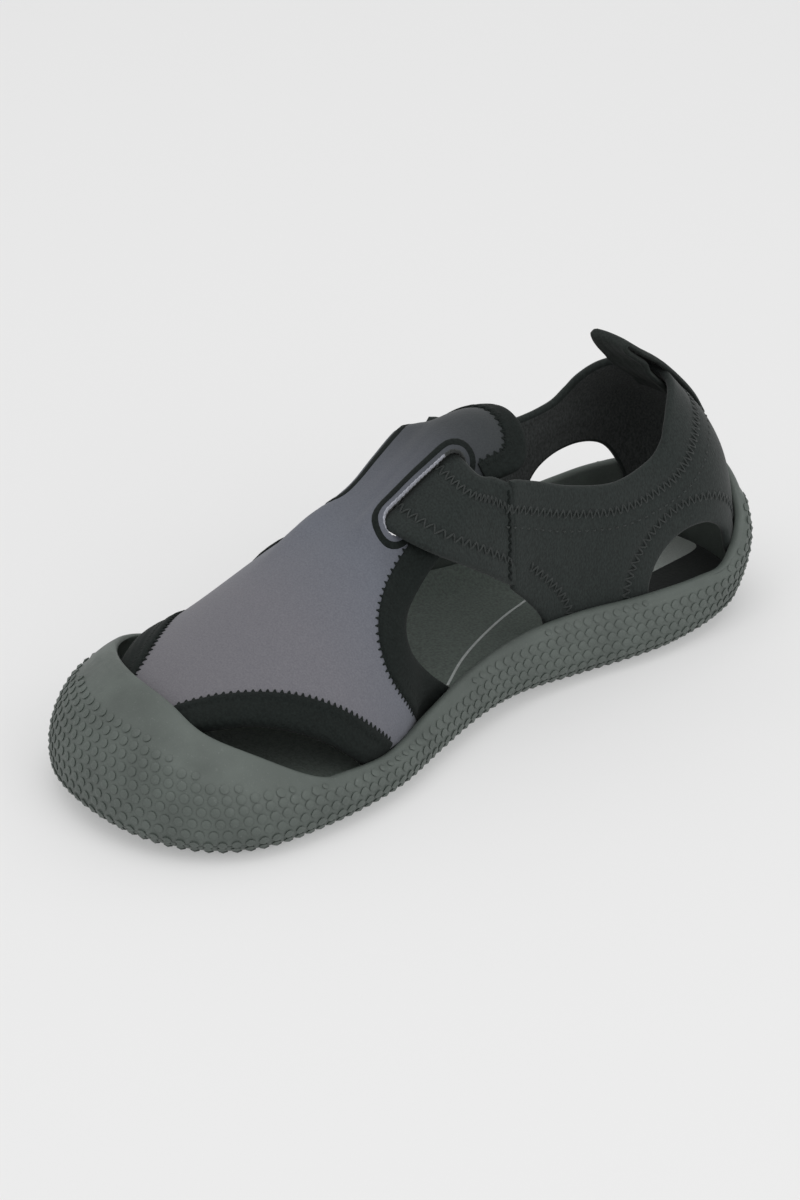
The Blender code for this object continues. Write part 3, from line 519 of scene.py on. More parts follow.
def tube_faces(row_count, count):
    """Quads between neighbouring rings of a tube, and its two ends."""
    last = (row_count - 1) * count
    return ring_faces(row_count, count) + [tuple(reversed(range(count))), tuple(range(last, last + count))]


def ladder_faces(first, count):
    """Faces that close a ring, rung by rung, between stations that face each other."""
    half = count // 2
    faces = [(first, first + 1, first + count - 1)]
    for k in range(1, half - 1):
        faces.append((first + k, first + k + 1, first + count - k - 1, first + count - k))
    faces.append((first + half - 1, first + half, first + half + 1))
    return faces


def ring_solid(rows):
    """Points and faces of a closed solid made of rings, closed across its first and last one."""
    count = len(rows[0])
    faces = ring_faces(len(rows), count)
    faces += ladder_faces(0, count)
    faces += ladder_faces((len(rows) - 1) * count, count)
    return np.concatenate(list(rows)), faces


def field_top(outer, share):
    """Height of each wall row over the parting line, and where the field of bumps ends, along the wall."""
    along = run_lengths(outer)
    along = along - along[LOWER_RISES.index(PARTING_RISE)]
    cap = ease(0.0, FIELD_CAP_SHARE, share)
    top = np.minimum(along[-1] - blend(BAND_SIDE, BAND_CAP, cap), blend(FIELD_TOP_SIDE, LENGTH, cap))
    return along, top


def sole_rows():
    """All rows of the sole, with the field of bumps set back a little under the smooth band."""
    outer, inner, share = cup_rows()
    along, top = field_top(outer, share)
    recess = FIELD_RECESS * ease(0.0, FIELD_FADE_TOP, top - along) * ease(0.0, FIELD_FADE_LOW, along)
    return outer - grid_normals(outer) * recess[..., None], inner, share


def bump_places():
    """Where each bump of the sole sits: place, normal, share of cap, size and direction along its row."""
    outer, _, share = sole_rows()
    along, top = field_top(outer, share)
    values = np.concatenate([outer, grid_normals(outer)], axis=2)
    toe = len(share) // 2
    found = []
    for row in range(-BUMP_ROWS_BELOW, BUMP_ROWS):
        level = (row + 0.5) * BUMP_ROW_PITCH
        line = [look_up(level, along[:, k], values[:, k]) for k in range(len(share))]
        line = np.roll(np.column_stack([line, share, top - level]), -toe, axis=0)
        line = np.concatenate([line, line[:1]])
        steps = np.linalg.norm(np.diff(line[:, :3], axis=0), axis=1)
        pitch = blend(BUMP_PITCH_SIDE, BUMP_PITCH_CAP, ease(0.0, BUMP_PITCH_SHARE, line[:-1, 6]))
        turns = np.concatenate([[0], np.cumsum(steps / pitch)])
        whole = round(turns[-1])
        turns *= whole / turns[-1]
        at = (np.arange(whole) + 0.5 * (row % 2)) % whole
        places = look_up(at, turns, line)
        ahead = look_up((at + 0.1) % whole, turns, line[:, :3])
        found.append(np.concatenate([places, ahead - places[:, :3]], axis=1))
    found = np.concatenate(found)
    found[:, 7] = ease(0.0, BUMP_FADE, found[:, 7])
    return found[found[:, 7] > BUMP_SMALLEST]


def circles(first, second, count):
    """Steps round unit circles, each laid out by two directions."""
    turn = ring_angles(count)
    return first[:, None] * np.cos(turn)[:, None] + second[:, None] * np.sin(turn)[:, None]


def bump_mesh():
    """All the bumps of the sole as one mesh: flattened domes on the cap, pointed scales on the sides."""
    places = bump_places()
    centre, normal, share, size = places[:, :3], unit(places[:, 3:6]), places[:, 6], places[:, 7]
    along = unit(places[:, 8:] - normal * np.sum(places[:, 8:] * normal, axis=1, keepdims=True))
    cap = ease(0.0, BUMP_CAP_SHARE, share)
    turn = ring_angles(BUMP_SEGMENTS)
    power = blend(BUMP_POWER_SIDE, BUMP_POWER_CAP, cap[:, None])
    reach = (np.abs(np.cos(turn)) ** power + np.abs(np.sin(turn)) ** power) ** (-1 / power)
    wide = BUMP_RADIUS * blend(BUMP_WIDE_SIDE, BUMP_WIDE_CAP, cap) * blend(BUMP_SHRUNK, 1.0, size)
    around = circles(along, np.cross(normal, along), BUMP_SEGMENTS) * (reach * wide[:, None])[..., None]
    rings = []
    for radius, height in BUMP_PROFILE:
        tall = BUMP_HEIGHT * height * (size if height > 0 else np.ones_like(size))
        rings.append((centre + normal * tall[:, None])[:, None] + around * radius)
    top = centre + normal * (BUMP_HEIGHT * BUMP_TOP * size)[:, None]
    base = centre - normal * BUMP_HEIGHT
    points = np.concatenate(rings + [top[:, None], base[:, None]], axis=1)
    points[..., 2] = np.maximum(points[..., 2], 0.0)
    pattern = ring_faces(len(rings), BUMP_SEGMENTS)
    crown = len(rings) * BUMP_SEGMENTS
    last = crown - BUMP_SEGMENTS
    for k in range(BUMP_SEGMENTS):
        after = (k + 1) % BUMP_SEGMENTS
        pattern += [(last + k, last + after, crown), (after, k, crown + 1)]
    return repeat(points, pattern)


def repeat(points, pattern):
    """One mesh of many copies: a block of points for each copy, and the faces of one copy."""
    count = points.shape[1]
    faces = [tuple(i + copy * count for i in face) for copy in range(len(points)) for face in pattern]
    return points.reshape(-1, 3), faces


def insole_top(y):
    """Height of the footbed's upper face."""
    return bottom(y) + SOLE_UNDER_INSOLE + GAP + INSOLE_THICKNESS


def insole_lip(flat, inside):
    """How far the footbed's outer edge is turned up, at places that are so far inside that edge."""
    span = ease(*INSOLE_LIP_START, flat[:, 1]) * (1 - ease(*INSOLE_LIP_END, flat[:, 1]))
    lip = INSOLE_LIP * span * (1 - inside / INSOLE_LIP_WIDTH) ** INSOLE_LIP_POWER
    return np.where(flat[:, 0] < 0, lip, 0.0)


def insole_rows():
    """Rows of the footbed: a sheet on the cup's floor with a rounded upper edge."""
    angle = ring_angles()
    inset = CUP_INSET + 2 * GAP
    straight = INSOLE_THICKNESS / 2 - INSOLE_ROUND
    profile = []
    for turn in np.linspace(-math.pi / 2, math.pi / 2, INSOLE_ROUND_ROWS):
        rise = INSOLE_THICKNESS / 2 + straight * np.sign(turn) + INSOLE_ROUND * math.sin(turn)
        profile.append((INSOLE_ROUND * (1 - math.cos(turn)), rise))
    lips = np.linspace(INSOLE_ROUND, INSOLE_LIP_WIDTH, INSOLE_LIP_ROWS)[1:]
    rows = []
    for inside, rise in profile + [(inside, INSOLE_THICKNESS) for inside in lips]:
        flat = plan(angle, inset + inside)
        lip = insole_lip(flat, inside) * rise / INSOLE_THICKNESS
        rows.append(with_height(flat, bottom(flat[:, 1]) + SOLE_UNDER_INSOLE + GAP + rise + lip))
    return rows


def cup_side(y, medial):
    """Where the upper's outer face meets the cup wall, at a place along the shoe."""
    small = 0.02
    angle = np.linspace(small, math.pi - small, SIDE_SAMPLES)
    if not medial:
        angle = 2 * math.pi - angle
    wall = plan(angle, UPPER_INSET)
    order = np.argsort(wall[:, 1])
    return np.interp(y, wall[order, 1], wall[order, 0])


def slot_edges(y, medial):
    """Arcs from the ridge to the near and the far edge of a strap slot, on one side."""
    forwards = np.clip((SLOT_BACK - y) / (SLOT_BACK - SLOT_FRONT), 0, 1)
    near = np.where(medial, SLOT_MEDIAL - SLOT_SLANT * forwards, SLOT_LATERAL)
    return near, near + SLOT_WIDTH


def slot_relief(y, across):
    """How far the bar between the slots lifts, and the margin outside them sinks, round the strap."""
    reach = np.abs(across)
    medial = across > 0
    near, far = slot_edges(y, medial)
    front = ease(*RELIEF_FRONT, y)
    lift_front = np.where(medial, front, ease(*RELIEF_FRONT_LATERAL, y))
    backwards = blend(LIFT_LATERAL_FRONT, 1.0, ease(SLOT_FRONT, SLOT_BACK, y))
    highest = np.where(medial, LIFT_MEDIAL, LIFT_LATERAL * backwards)
    lowest = np.where(medial, SINK_MEDIAL, SINK_LATERAL)
    lift = highest * lift_front * bell(reach - near, RELIEF_SPREAD)
    sink = lowest * front * ease(near, far + RELIEF_MARGIN, reach)
    return (lift - sink) * (1 - ease(*RELIEF_BACK, y))


def vamp_point(y, across):
    """A point of the vamp's outer face: y along the shoe, and the arc from the ridge to the side."""
    side = BALL_WIDTH * read(RIDGE, "side", y / LENGTH)
    crest, base = (INSTEP_HEIGHT * read(RIDGE, name, y / LENGTH) for name in ("crest", "base"))
    medial = across >= 0
    wall = np.where(medial, cup_side(y, True) - side, side - cup_side(y, False))
    half = blend(wall, TONGUE_HALF, ease(*TONGUE_BLEND, y))
    rise = crest - base
    turns = np.linspace(0, math.pi / 2, ARC_SAMPLES)
    run = np.stack([half * np.sin(turns)[:, None], base + rise * np.cos(turns)[:, None]], -1)
    lengths = run_lengths(run)
    reach = np.abs(across)
    position = np.array([np.interp(r, column, turns) for r, column in zip(reach, lengths.T)])
    below = np.maximum(reach - lengths[-1], 0)
    x = side + np.where(medial, 1, -1) * half * np.sin(position)
    return np.stack([x, y, base + rise * np.cos(position) - below], -1)


def lifted(point, u, v, small):
    """A surface's points and normals, from its point function."""
    u, v = np.asarray(u, float), np.asarray(v, float)
    step_u = point(u + small, v) - point(u - small, v)
    step_v = point(u, v + small) - point(u, v - small)
    return point(u, v), unit(np.cross(step_v, step_u))


def vamp_surface(y, across):
    """Outer face of the vamp with the relief round the strap, and its normals."""
    point, normal = lifted(vamp_point, y, across, VAMP_NORMAL_STEP)
    return point + normal * slot_relief(np.asarray(y, float), np.asarray(across, float))[:, None], normal


def heel_wrap():
    """Plan of the back upper: arc length from the heel's back (inner side positive) and points."""
    angle = np.linspace(-WRAP_TURN, WRAP_TURN, WRAP_SAMPLES)
    points = plan(angle, UPPER_INSET)
    lengths = run_lengths(points)
    return lengths - np.interp(0, angle, lengths), points


WRAP_LENGTH, WRAP_POINTS = heel_wrap()


def quarter_point(wrap, z):
    """A point of the back upper's outer face: arc length round the heel, and height."""
    x, y = look_up(wrap, WRAP_LENGTH, WRAP_POINTS).T
    lean, inner, outer = (read(HEEL_CURVE, name, z / HEEL_HEIGHT) for name in ("lean", "inner", "outer"))
    middle = BALL_WIDTH * read(PLAN, "centre", y / LENGTH)
    narrowing = np.where(x > middle, inner, outer) * ease(*NARROW_SPAN, y)
    return np.stack([blend(x, middle, narrowing), y - lean * ease(*LEAN_SPAN, y), z], -1)


def quarter_surface(wrap, z):
    """Outer face of the back upper and its normals."""
    return lifted(quarter_point, wrap, z, QUARTER_NORMAL_STEP)


def smooth_path(points, spacing=PANEL_STEP):
    """A smooth open curve through a few points, cut into even steps."""
    points = np.asarray(points, float)
    padded = np.concatenate([[2 * points[0] - points[1]], points, [2 * points[-1] - points[-2]]])
    s = np.linspace(0, 1, CURVE_STEPS, endpoint=False)[:, None]
    pieces = []
    for before, start, end, after in zip(padded, padded[1:], padded[2:], padded[3:]):
        pieces.append(0.5 * (2 * start + (end - before) * s
                             + (2 * before - 5 * start + 4 * end - after) * s ** 2
                             + (3 * start - before - 3 * end + after) * s ** 3))
    curve = np.concatenate(pieces + [points[-1:]])
    lengths = run_lengths(curve)
    count = max(2, int(round(lengths[-1] / spacing)) + 1)
    return look_up(np.linspace(0, lengths[-1], count), lengths, curve)


def closed_path(runs):
    """One loop of smooth runs, end to end, without their repeated ends."""
    return np.concatenate([smooth_path(run)[:-1] for run in runs])


def sideways(path):
    """Unit steps across a pattern path, to the right of its way along."""
    return right_of(unit(np.gradient(path, axis=0)))


def loop_sideways(loop):
    """Unit steps across a closed pattern path."""
    return sideways(np.concatenate([loop[-1:], loop, loop[:1]]))[1:-1]


def ended(loop):
    """A closed pattern path that comes back to its first point."""
    return np.concatenate([loop, loop[:1]])


def inside_loop(points, loop):
    """Which points lie inside a loop."""
    inside = np.zeros(len(points), bool)
    for (x0, y0), (x1, y1) in zip(loop, np.roll(loop, -1, axis=0)):
        crosses = (y0 > points[:, 1]) != (y1 > points[:, 1])
        with np.errstate(divide="ignore", invalid="ignore"):
            at = x0 + (points[:, 1] - y0) * (x1 - x0) / (y1 - y0)
        inside ^= crosses & (points[:, 0] < at)
    return inside


def distance_to(points, path):
    """Distance of pattern points from an open path."""
    nearest = np.full(len(points), np.inf)
    for start, end in zip(path, path[1:]):
        edge = end - start
        share = np.clip(((points - start) @ edge) / max(edge @ edge, 1e-9), 0, 1)
        nearest = np.minimum(nearest, np.linalg.norm(points - start - share[:, None] * edge, axis=1))
    return nearest


def loop_distance(points, loop):
    """Distance of pattern points from a closed loop."""
    return distance_to(points, ended(loop))


def cut_pattern(loop, holes):
    """Points and triangles of a flat pattern with holes."""
    low, high = loop.min(axis=0), loop.max(axis=0)
    places = [np.arange(low[i], high[i], PANEL_STEP) for i in (0, 1)]
    grid = np.stack(np.meshgrid(*places), -1).reshape(-1, 2)
    keep = inside_loop(grid, loop) & (loop_distance(grid, loop) > PANEL_CLEAR)
    for hole in holes:
        keep &= ~inside_loop(grid, hole) & (loop_distance(grid, hole) > PANEL_CLEAR)
    flat, edges = [], []
    for ring in [loop] + holes:
        first = len(flat)
        flat += [tuple(p) for p in ring]
        edges += [(first + i, first + (i + 1) % len(ring)) for i in range(len(ring))]
    flat += [tuple(p) for p in grid[keep]]
    whole = delaunay_2d_cdt(flat, edges, [], 0, 1e-6)
    pattern = np.array([(p[0], p[1]) for p in whole[0]])
    middles = np.array([pattern[list(face)].mean(axis=0) for face in whole[2]])
    wanted = inside_loop(middles, loop)
    for hole in holes:
        wanted &= ~inside_loop(middles, hole)
    return pattern, [tuple(face) for face, kept in zip(whole[2], wanted) if kept]


OUTSIDE, LINING, EDGE, CUT = 0, 1, 2, 3


def panel_mesh(loop, holes, surface, bulge=1.0):
    """A cut sheet laid on a surface, with its lining and a rounded edge; and the kind of each face."""
    pattern, sheet = cut_pattern(loop, holes)
    outer, normal = surface(pattern[:, 0], pattern[:, 1])
    count = len(outer)
    borders = {}
    for face in sheet:
        for a, b in zip(face, face[1:] + face[:1]):
            borders[(a, b)] = face
    borders = {pair: face for pair, face in borders.items() if (pair[1], pair[0]) not in borders}
    before = {b: a for a, b in borders}
    rim_points = np.array([a for a, _ in borders])
    onward = np.array([b for _, b in borders])
    back = np.array([before[a] for a in rim_points])
    away = unit(np.cross(outer[onward] - outer[back], normal[rim_points]))
    first = next(iter(borders.values()))
    inner_corner = [i for i in first if i not in (rim_points[0], onward[0])][0]
    if np.dot(away[0], outer[rim_points[0]] - outer[inner_corner]) < 0:
        away = -away
    in_slot = np.zeros(len(rim_points), bool)
    for hole in holes:
        in_slot |= loop_distance(pattern[rim_points], hole) < SLOT_EDGE_NEAR
    place = {a: k for k, a in enumerate(rim_points)}
    half = normal[rim_points] * NEOPRENE / 2
    swell = NEOPRENE / 2 * away * np.where(in_slot, SLOT_EDGE_BULGE, bulge)[:, None]
    blocks = [outer, outer - normal * NEOPRENE]
    for turn in math.pi * np.arange(1, EDGE_ROWS) / EDGE_ROWS:
        blocks.append(outer[rim_points] - half + half * math.cos(turn) + swell * math.sin(turn))
    faces = sheet + [tuple(i + count for i in reversed(face)) for face in sheet]
    kinds = [OUTSIDE] * len(sheet) + [LINING] * len(sheet)

    def rim_index(row, a):
        if row == 0:
            return a
        if row == EDGE_ROWS:
            return a + count
        return 2 * count + (row - 1) * len(rim_points) + place[a]

    for a, b in borders:
        for row in range(EDGE_ROWS):
            corners = ((row, b), (row, a), (row + 1, a), (row + 1, b))
            faces.append(tuple(rim_index(*corner) for corner in corners))
            shown = CUT if row < CUT_ROWS and pattern[a][0] < SLOT_LIGHT_END else LINING
            kinds.append(shown if in_slot[place[a]] else EDGE)
    return np.concatenate(blocks), faces, kinds


# Edges of the vamp, given along the shoe and as the arc from the ridge
TOE_CUT = [(-76.5, 11.4), (-72.0, 14.2), (-65.0, 19.2), (-56.0, 26.5), (-46.5, 36.5), (-37.6, 47.8)]
SIDE_CUT = [(-7.2, 50.2), (-14.0, 39.0), (-18.0, 31.5), (-16.5, 26.2), (-10.0, 23.0), (1.0, 21.0),
            (11.0, 17.6)]
OUTER_SIDE_CUT = [(-9.0, 46.0), (-14.0, 40.0), (-18.0, 33.0), (-16.5, 28.0), (-10.0, 25.2), (1.0, 23.6),
                  (11.0, 20.6)]
TONGUE_END = [(11.0, 17.6), (20.0, 16.6), (24.5, 10.6), (26.2, 2.0), (24.6, -6.0), (19.5, -14.0),
              (11.0, -20.6)]
TOE_TUCK = -76.5
OUTER_TOE_CUT = [(-76.5, 12.5), (-72.0, 15.0), (-65.0, 19.5), (-56.0, 27.0), (-46.5, 37.0), (-39.0, 46.0)]


def mirrored(points):
    """The other half of a pattern, in the opposite order."""
    return [(u, -v) for u, v in reversed(points)]


def vamp_loop():
    """Closed pattern of the vamp."""
    front = [(TOE_TUCK, -OUTER_TOE_CUT[0][1]), (TOE_TUCK, TOE_CUT[0][1])]
    leg = [TOE_CUT[-1], SIDE_CUT[0]]
    far_leg = [OUTER_TOE_CUT[-1], OUTER_SIDE_CUT[0]]
    far_side = [mirrored(run) for run in (OUTER_SIDE_CUT, far_leg, OUTER_TOE_CUT)]
    return closed_path([front, TOE_CUT, leg, SIDE_CUT, TONGUE_END, *far_side])


def slot_loop(sign, grow=0.0):
    """Closed pattern round one strap slot, with round ends."""
    radius = SLOT_WIDTH / 2
    turns = np.linspace(-math.pi / 2, math.pi / 2, SLOT_END_STEPS)
    front, back = SLOT_FRONT + radius, SLOT_BACK - radius
    radius += grow
    front_end = [(front - radius * math.cos(t), radius * math.sin(t)) for t in turns]
    back_end = [(back + radius * math.cos(t), -radius * math.sin(t)) for t in turns]
    near_side = smooth_path([front_end[-1], back_end[0]])[1:-1]
    far_side = smooth_path([back_end[-1], front_end[0]])[1:-1]
    loop = np.concatenate([front_end, near_side, back_end, far_side])
    near = slot_edges(loop[:, 0], sign > 0)[0]
    return np.stack([loop[:, 0], loop[:, 1] + sign * (near + SLOT_WIDTH / 2)], -1)


def pinked(loop):
    """A closed pattern cut with small teeth along its edge."""
    even = smooth_path(ended(loop), SLOT_TOOTH_STEP)[:-1]
    even = even[:len(even) // 2 * 2]
    return even + loop_sideways(even) * by_turns(len(even), SLOT_TOOTH, -SLOT_TOOTH)


# Half patterns of the back upper, given as the arc round the heel and the height
COLLAR = [(0.0, 57.8), (9.0, 57.4), (19.0, 55.4), (28.0, 51.6), (34.0, 48.2), (41.0, 45.2), (54.0, 43.5),
          (67.0, 46.0), (77.0, 49.9), (STRAP_SEAM, 52.8)]
OUTER_COLLAR = [(0.0, 57.8), (9.0, 57.9), (19.0, 56.7), (28.0, 53.0), (34.0, 49.5), (41.0, 46.2),
                (54.0, 44.4), (67.0, 47.4), (75.0, 50.4)]
SEAM_LOW = (STRAP_SEAM, 27.5)
LEG_FRONT = [SEAM_LOW, (79.4, 22.5), (75.6, 17.0), (74.4, 10.0)]
HEEL_OVAL = [(49.0, 10.0), (48.5, 17.6), (44.5, 24.4), (37.5, 28.2), (29.5, 27.8), (22.8, 22.6),
             (20.5, 15.6)]
OUTER_OVAL = [(54.0, 10.0), (53.0, 19.0), (49.5, 28.6), (43.0, 33.3), (34.2, 34.5), (26.4, 32.0),
              (22.2, 25.0), (20.5, 17.0)]
HEEL_LOW = [(20.5, 15.6), (11.0, 16.8), (0.0, 17.2), (-11.0, 17.2), (-20.5, 17.0)]
OUTER_FRONT = [(75.0, 50.4), (81.0, 40.0), (83.5, 31.0)]
OUTER_LEG_LOW = [(66.0, 17.5), (59.0, 14.0)]


def outer_side(points):
    """A run of the back upper's pattern on the outer side of the foot, in the opposite order."""
    return [(-u, v) for u, v in reversed(points)]


def outer_leg():
    """Front edge of the outer leg, from the strap down."""
    return [OUTER_FRONT[-1], LEG_FRONT[1], *OUTER_LEG_LOW]


def quarter_loop():
    """Closed pattern of the back upper; its inner side runs to the strap seam."""
    return closed_path([
        COLLAR, [COLLAR[-1], SEAM_LOW], LEG_FRONT, [LEG_FRONT[-1], HEEL_OVAL[0]], HEEL_OVAL, HEEL_LOW,
        outer_side(OUTER_OVAL), outer_side([OUTER_LEG_LOW[-1], OUTER_OVAL[0]]), outer_side(outer_leg()),
        outer_side(OUTER_FRONT), outer_side(OUTER_COLLAR)])


def quarter_seams():
    """Sewn lines of the back upper, as pattern paths a little inside its edges."""
    edges = (outer_side(OUTER_COLLAR)[:-1] + COLLAR, HEEL_OVAL, outer_side(OUTER_OVAL), LEG_FRONT,
             outer_side(outer_leg()))
    paths = [smooth_path(edge) for edge in edges]
    return [path + sideways(path) * STITCH_EDGE for path in paths]


QUARTER_SEAMS = quarter_seams()


def drawn_in(surface, lines, dip, spread):
    """A surface that is drawn in a little along some pattern lines."""

    def drawn(u, v):
        point, normal = surface(u, v)
        places = np.stack([u, v], -1)
        near = np.min([distance_to(places, line) for line in lines], axis=0)
        return point - normal * dip * bell(near, spread)[:, None], normal

    return drawn


# Lines pressed round the two slots, and the outer faces of the back upper and of the vamp as they are sewn
SLOT_PATHS = [slot_loop(sign, SLOT_LINE) for sign in (1, -1)]
sewn_quarter = drawn_in(quarter_surface, QUARTER_SEAMS, STITCH_DIP, STITCH_SPREAD)
pressed_vamp = drawn_in(vamp_surface, [ended(path) for path in SLOT_PATHS], SLOT_LINE_DIP, SLOT_LINE_SPREAD)


# Strap outside the slots: x, y and z of its upper edge, then of its lower edge
STRAP_INNER = [
    (14.4, 11.6, 54.8, 17.2, 4.6, 35.2),
    (12.9, 8.8, 55.6, 15.8, -8.2, 44.0),
]
STRAP_OUTER = [
    (-17.2, 9.0, 49.6, -19.4, -9.6, 37.6),
    (-22.6, 13.8, 47.0, -24.6, -2.6, 32.0),
    (-26.6, 20.0, 45.8, -27.6, 6.0, 28.0),
    (-26.2, 26.6, 45.2, -27.3, 15.6, 25.6),
    (-25.2, 33.5, 44.6, -26.0, 27.0, 24.4),
]


def straight_rows(edges):
    """Rows of points straight across the strap between its two edges."""
    share = np.linspace(0, 1, STRAP_ACROSS)[:, None]
    return [blend(np.array(row[:3]), np.array(row[3:]), share) for row in edges]


def smooth_rows(rows, step):
    """Rows of points across a strip, made smooth and even along it."""
    count = len(rows[0])
    line = smooth_path([row.reshape(-1) for row in rows], step * math.sqrt(count))
    return line.reshape(len(line), count, 3)


def strap_grid():
    """Middle of the strap, from the inner seam through both slots to its free end."""
    y = np.linspace(SLOT_BACK - STRAP_SLOT_ROOM, SLOT_FRONT + STRAP_SLOT_ROOM, STRAP_ACROSS)
    heights = np.linspace(COLLAR[-1][1], SEAM_LOW[1], STRAP_ACROSS)
    seam, seam_normal = quarter_surface(np.full_like(y, STRAP_SEAM + GAP), heights)
    rows = [seam - seam_normal * NEOPRENE / 2] + straight_rows(STRAP_INNER)
    near, far = slot_edges(y, True)
    outer_near, outer_far = slot_edges(y, False)
    places = (((near + far) / 2, STRAP_THROUGH), (near, STRAP_UNDER), ((near - outer_near) / 2, STRAP_UNDER),
              (-outer_near, STRAP_UNDER), (-(outer_near + outer_far) / 2, STRAP_THROUGH),
              (-outer_far, STRAP_OVER))
    for across, height in places:
        point, normal = vamp_surface(y, across)
        rows.append(point + normal * height)
    return smooth_rows(rows + straight_rows(STRAP_OUTER), STRAP_STEP)


# Free fold of the heel loop: place along the shoe and height at its outer edge, then at its inner edge
TAB_FOLD = [
    (69.2, 60.4, 69.2, 60.4),
    (64.6, 63.9, 64.6, 63.9),
    (61.2, 66.6, 61.2, 66.6),
    (59.5, 67.9, 59.5, 67.9),
    (58.6, 67.5, 58.7, 67.5),
    (58.9, 66.2, 59.4, 66.1),
    (60.3, 64.0, 62.0, 63.9),
    (62.3, 61.5, 64.6, 61.6),
    (64.5, 58.7, 65.9, 58.8),
]


def heel_back(across, z, height):
    """A row of points over (or under) the back upper's outer face, level across the heel."""
    wrap = np.linspace(-4 * TAB_HALF_WIDTH, 4 * TAB_HALF_WIDTH, HEEL_SAMPLES)
    point, normal = quarter_surface(wrap, np.full_like(wrap, z))
    line = point + normal * height
    return look_up(across, line[:, 0], line)


def tab_grid():
    """Middle of the heel loop: up the back, over its free fold and down inside the collar."""
    middle = BALL_WIDTH * PLAN["centre"][-1] + TAB_SHIFT
    across = middle + np.linspace(-TAB_HALF_WIDTH, TAB_HALF_WIDTH, TAB_COLUMNS)
    half = WEBBING / 2 + GAP
    rows = [heel_back(across, z, half) for z in TAB_OUTSIDE]
    bend = rows[-1][:, 1] - rows[-1][:, 1].max()
    inner = np.linspace(0, 1, TAB_COLUMNS)
    for outer_y, outer_z, inner_y, inner_z in TAB_FOLD:
        y = blend(outer_y, inner_y, inner)
        rows.append(np.stack([across, y + bend, blend(outer_z, inner_z, inner)], -1))
    rows += [heel_back(across, z, -NEOPRENE - half) for z in TAB_INSIDE]
    return smooth_rows(rows, TAB_STEP)


def widened(grid, columns):
    """A grid with more columns, smooth across it."""
    curves = [smooth_path(row, COLUMN_STEP) for row in grid]
    return np.stack([look_up(np.linspace(0, len(curve) - 1, columns), np.arange(len(curve)), curve)
                     for curve in curves])


def strip_normals(grid):
    """Normals of an open grid of points."""
    return unit(np.cross(np.gradient(grid, axis=0), np.gradient(grid, axis=1)))


def grid_surface(grid, half_thickness):
    """Upper face of a strip as a surface, by shares along and across it."""
    normal = strip_normals(grid)

    def surface(along, across):
        rows = np.clip(np.asarray(along) * (grid.shape[0] - 1), 0, grid.shape[0] - 1.001)
        columns = np.clip(np.asarray(across) * (grid.shape[1] - 1), 0, grid.shape[1] - 1.001)
        i, j = rows.astype(int), columns.astype(int)
        s, t = (rows - i)[:, None], (columns - j)[:, None]

        def mix(values):
            return blend(blend(values[i, j], values[i, j + 1], t),
                         blend(values[i + 1, j], values[i + 1, j + 1], t), s)

        facing = unit(mix(normal))
        return mix(grid) + facing * half_thickness(np.asarray(across))[:, None], facing

    return surface


def strip_mesh(grid, upper, lower):
    """A closed strip round a grid: thickness of each face by the share across, with rounded long edges."""
    rows, columns = grid.shape[:2]
    normal = strip_normals(grid)
    across = np.linspace(0, 1, columns)
    top = grid + normal * upper(across)[None, :, None]
    under = grid - normal * lower(across)[None, :, None]
    ring = np.concatenate([top, under[:, ::-1]], axis=1)
    count = ring.shape[1]
    faces = ring_faces(rows, count)
    for first in (0, (rows - 1) * count):
        for j in range(columns - 1):
            faces.append((first + j, first + j + 1, first + count - 2 - j, first + count - 1 - j))
    return ring.reshape(-1, 3), faces


def rounded(half, width, edge):
    """Half thickness of a strip by the share across it: full in the middle, round at both edges."""

    def profile(across):
        inside = np.minimum(across, 1 - across) * width
        return half * np.sqrt(np.clip(1 - (1 - np.clip(inside / edge, 0, 1)) ** 2, EDGE_LEAST, 1))

    return profile


STRAP_WIDTH = 22.0
STRAP_LINES = (0.24, 0.76)


def strap_upper(across):
    """Half thickness of the strap's upper face, drawn in along its two sewn lines."""
    dips = sum(bell((across - line) * STRAP_WIDTH, STITCH_SPREAD) for line in STRAP_LINES)
    return rounded(STRAP_HALF_UPPER, STRAP_WIDTH, STRAP_EDGE_UPPER)(across) - STITCH_DIP * dips


def threads(starts, ends, facing, radius=THREAD, rise=THREAD_RISE):
    """Short bowed threads between pairs of points, as one mesh."""
    span = ends - starts
    along = unit(span)
    side = unit(np.cross(facing, along))
    around = circles(side, np.cross(along, side), THREAD_SIDES)
    rings = []
    for share in np.linspace(0, 1, THREAD_RINGS):
        bow = math.sin(math.pi * share)
        centre = starts + span * share + facing * (rise * bow ** THREAD_BOW - radius * THREAD_SINK)
        size = radius * blend(THREAD_END, 1.0, min(1.0, THREAD_SWELL * bow))
        rings.append(centre[:, None] + size * around)
    return repeat(np.concatenate(rings, axis=1), tube_faces(THREAD_RINGS, THREAD_SIDES))


def sewn_line(point, normal, shown=None, radius=THREAD, rise=THREAD_RISE):
    """Threads from each point of a sewn line to the next, where both show."""
    start = np.arange(len(point) - 1)
    if shown is not None:
        start = start[shown[:-1] & shown[1:]]
    facing = (normal[start] + normal[start + 1]) / 2
    return threads(point[start], point[start + 1], facing, radius, rise)


def zigzag(path, surface):
    """A zigzag row of threads along a pattern path."""
    even = smooth_path(path, STITCH_PITCH / 2)
    ends = even + sideways(even) * by_turns(len(even), STITCH_WIDTH / 2, -STITCH_WIDTH / 2)
    return sewn_line(*surface(ends[:, 0], ends[:, 1]))


def dashes(path, surface):
    """A row of short straight stitches along a pattern path."""
    even = smooth_path(path, DASH_PITCH / 2)
    even = even[:len(even) // 2 * 2]
    point, normal = surface(even[:, 0], even[:, 1])
    return threads(point[::2], point[1::2], (normal[::2] + normal[1::2]) / 2)


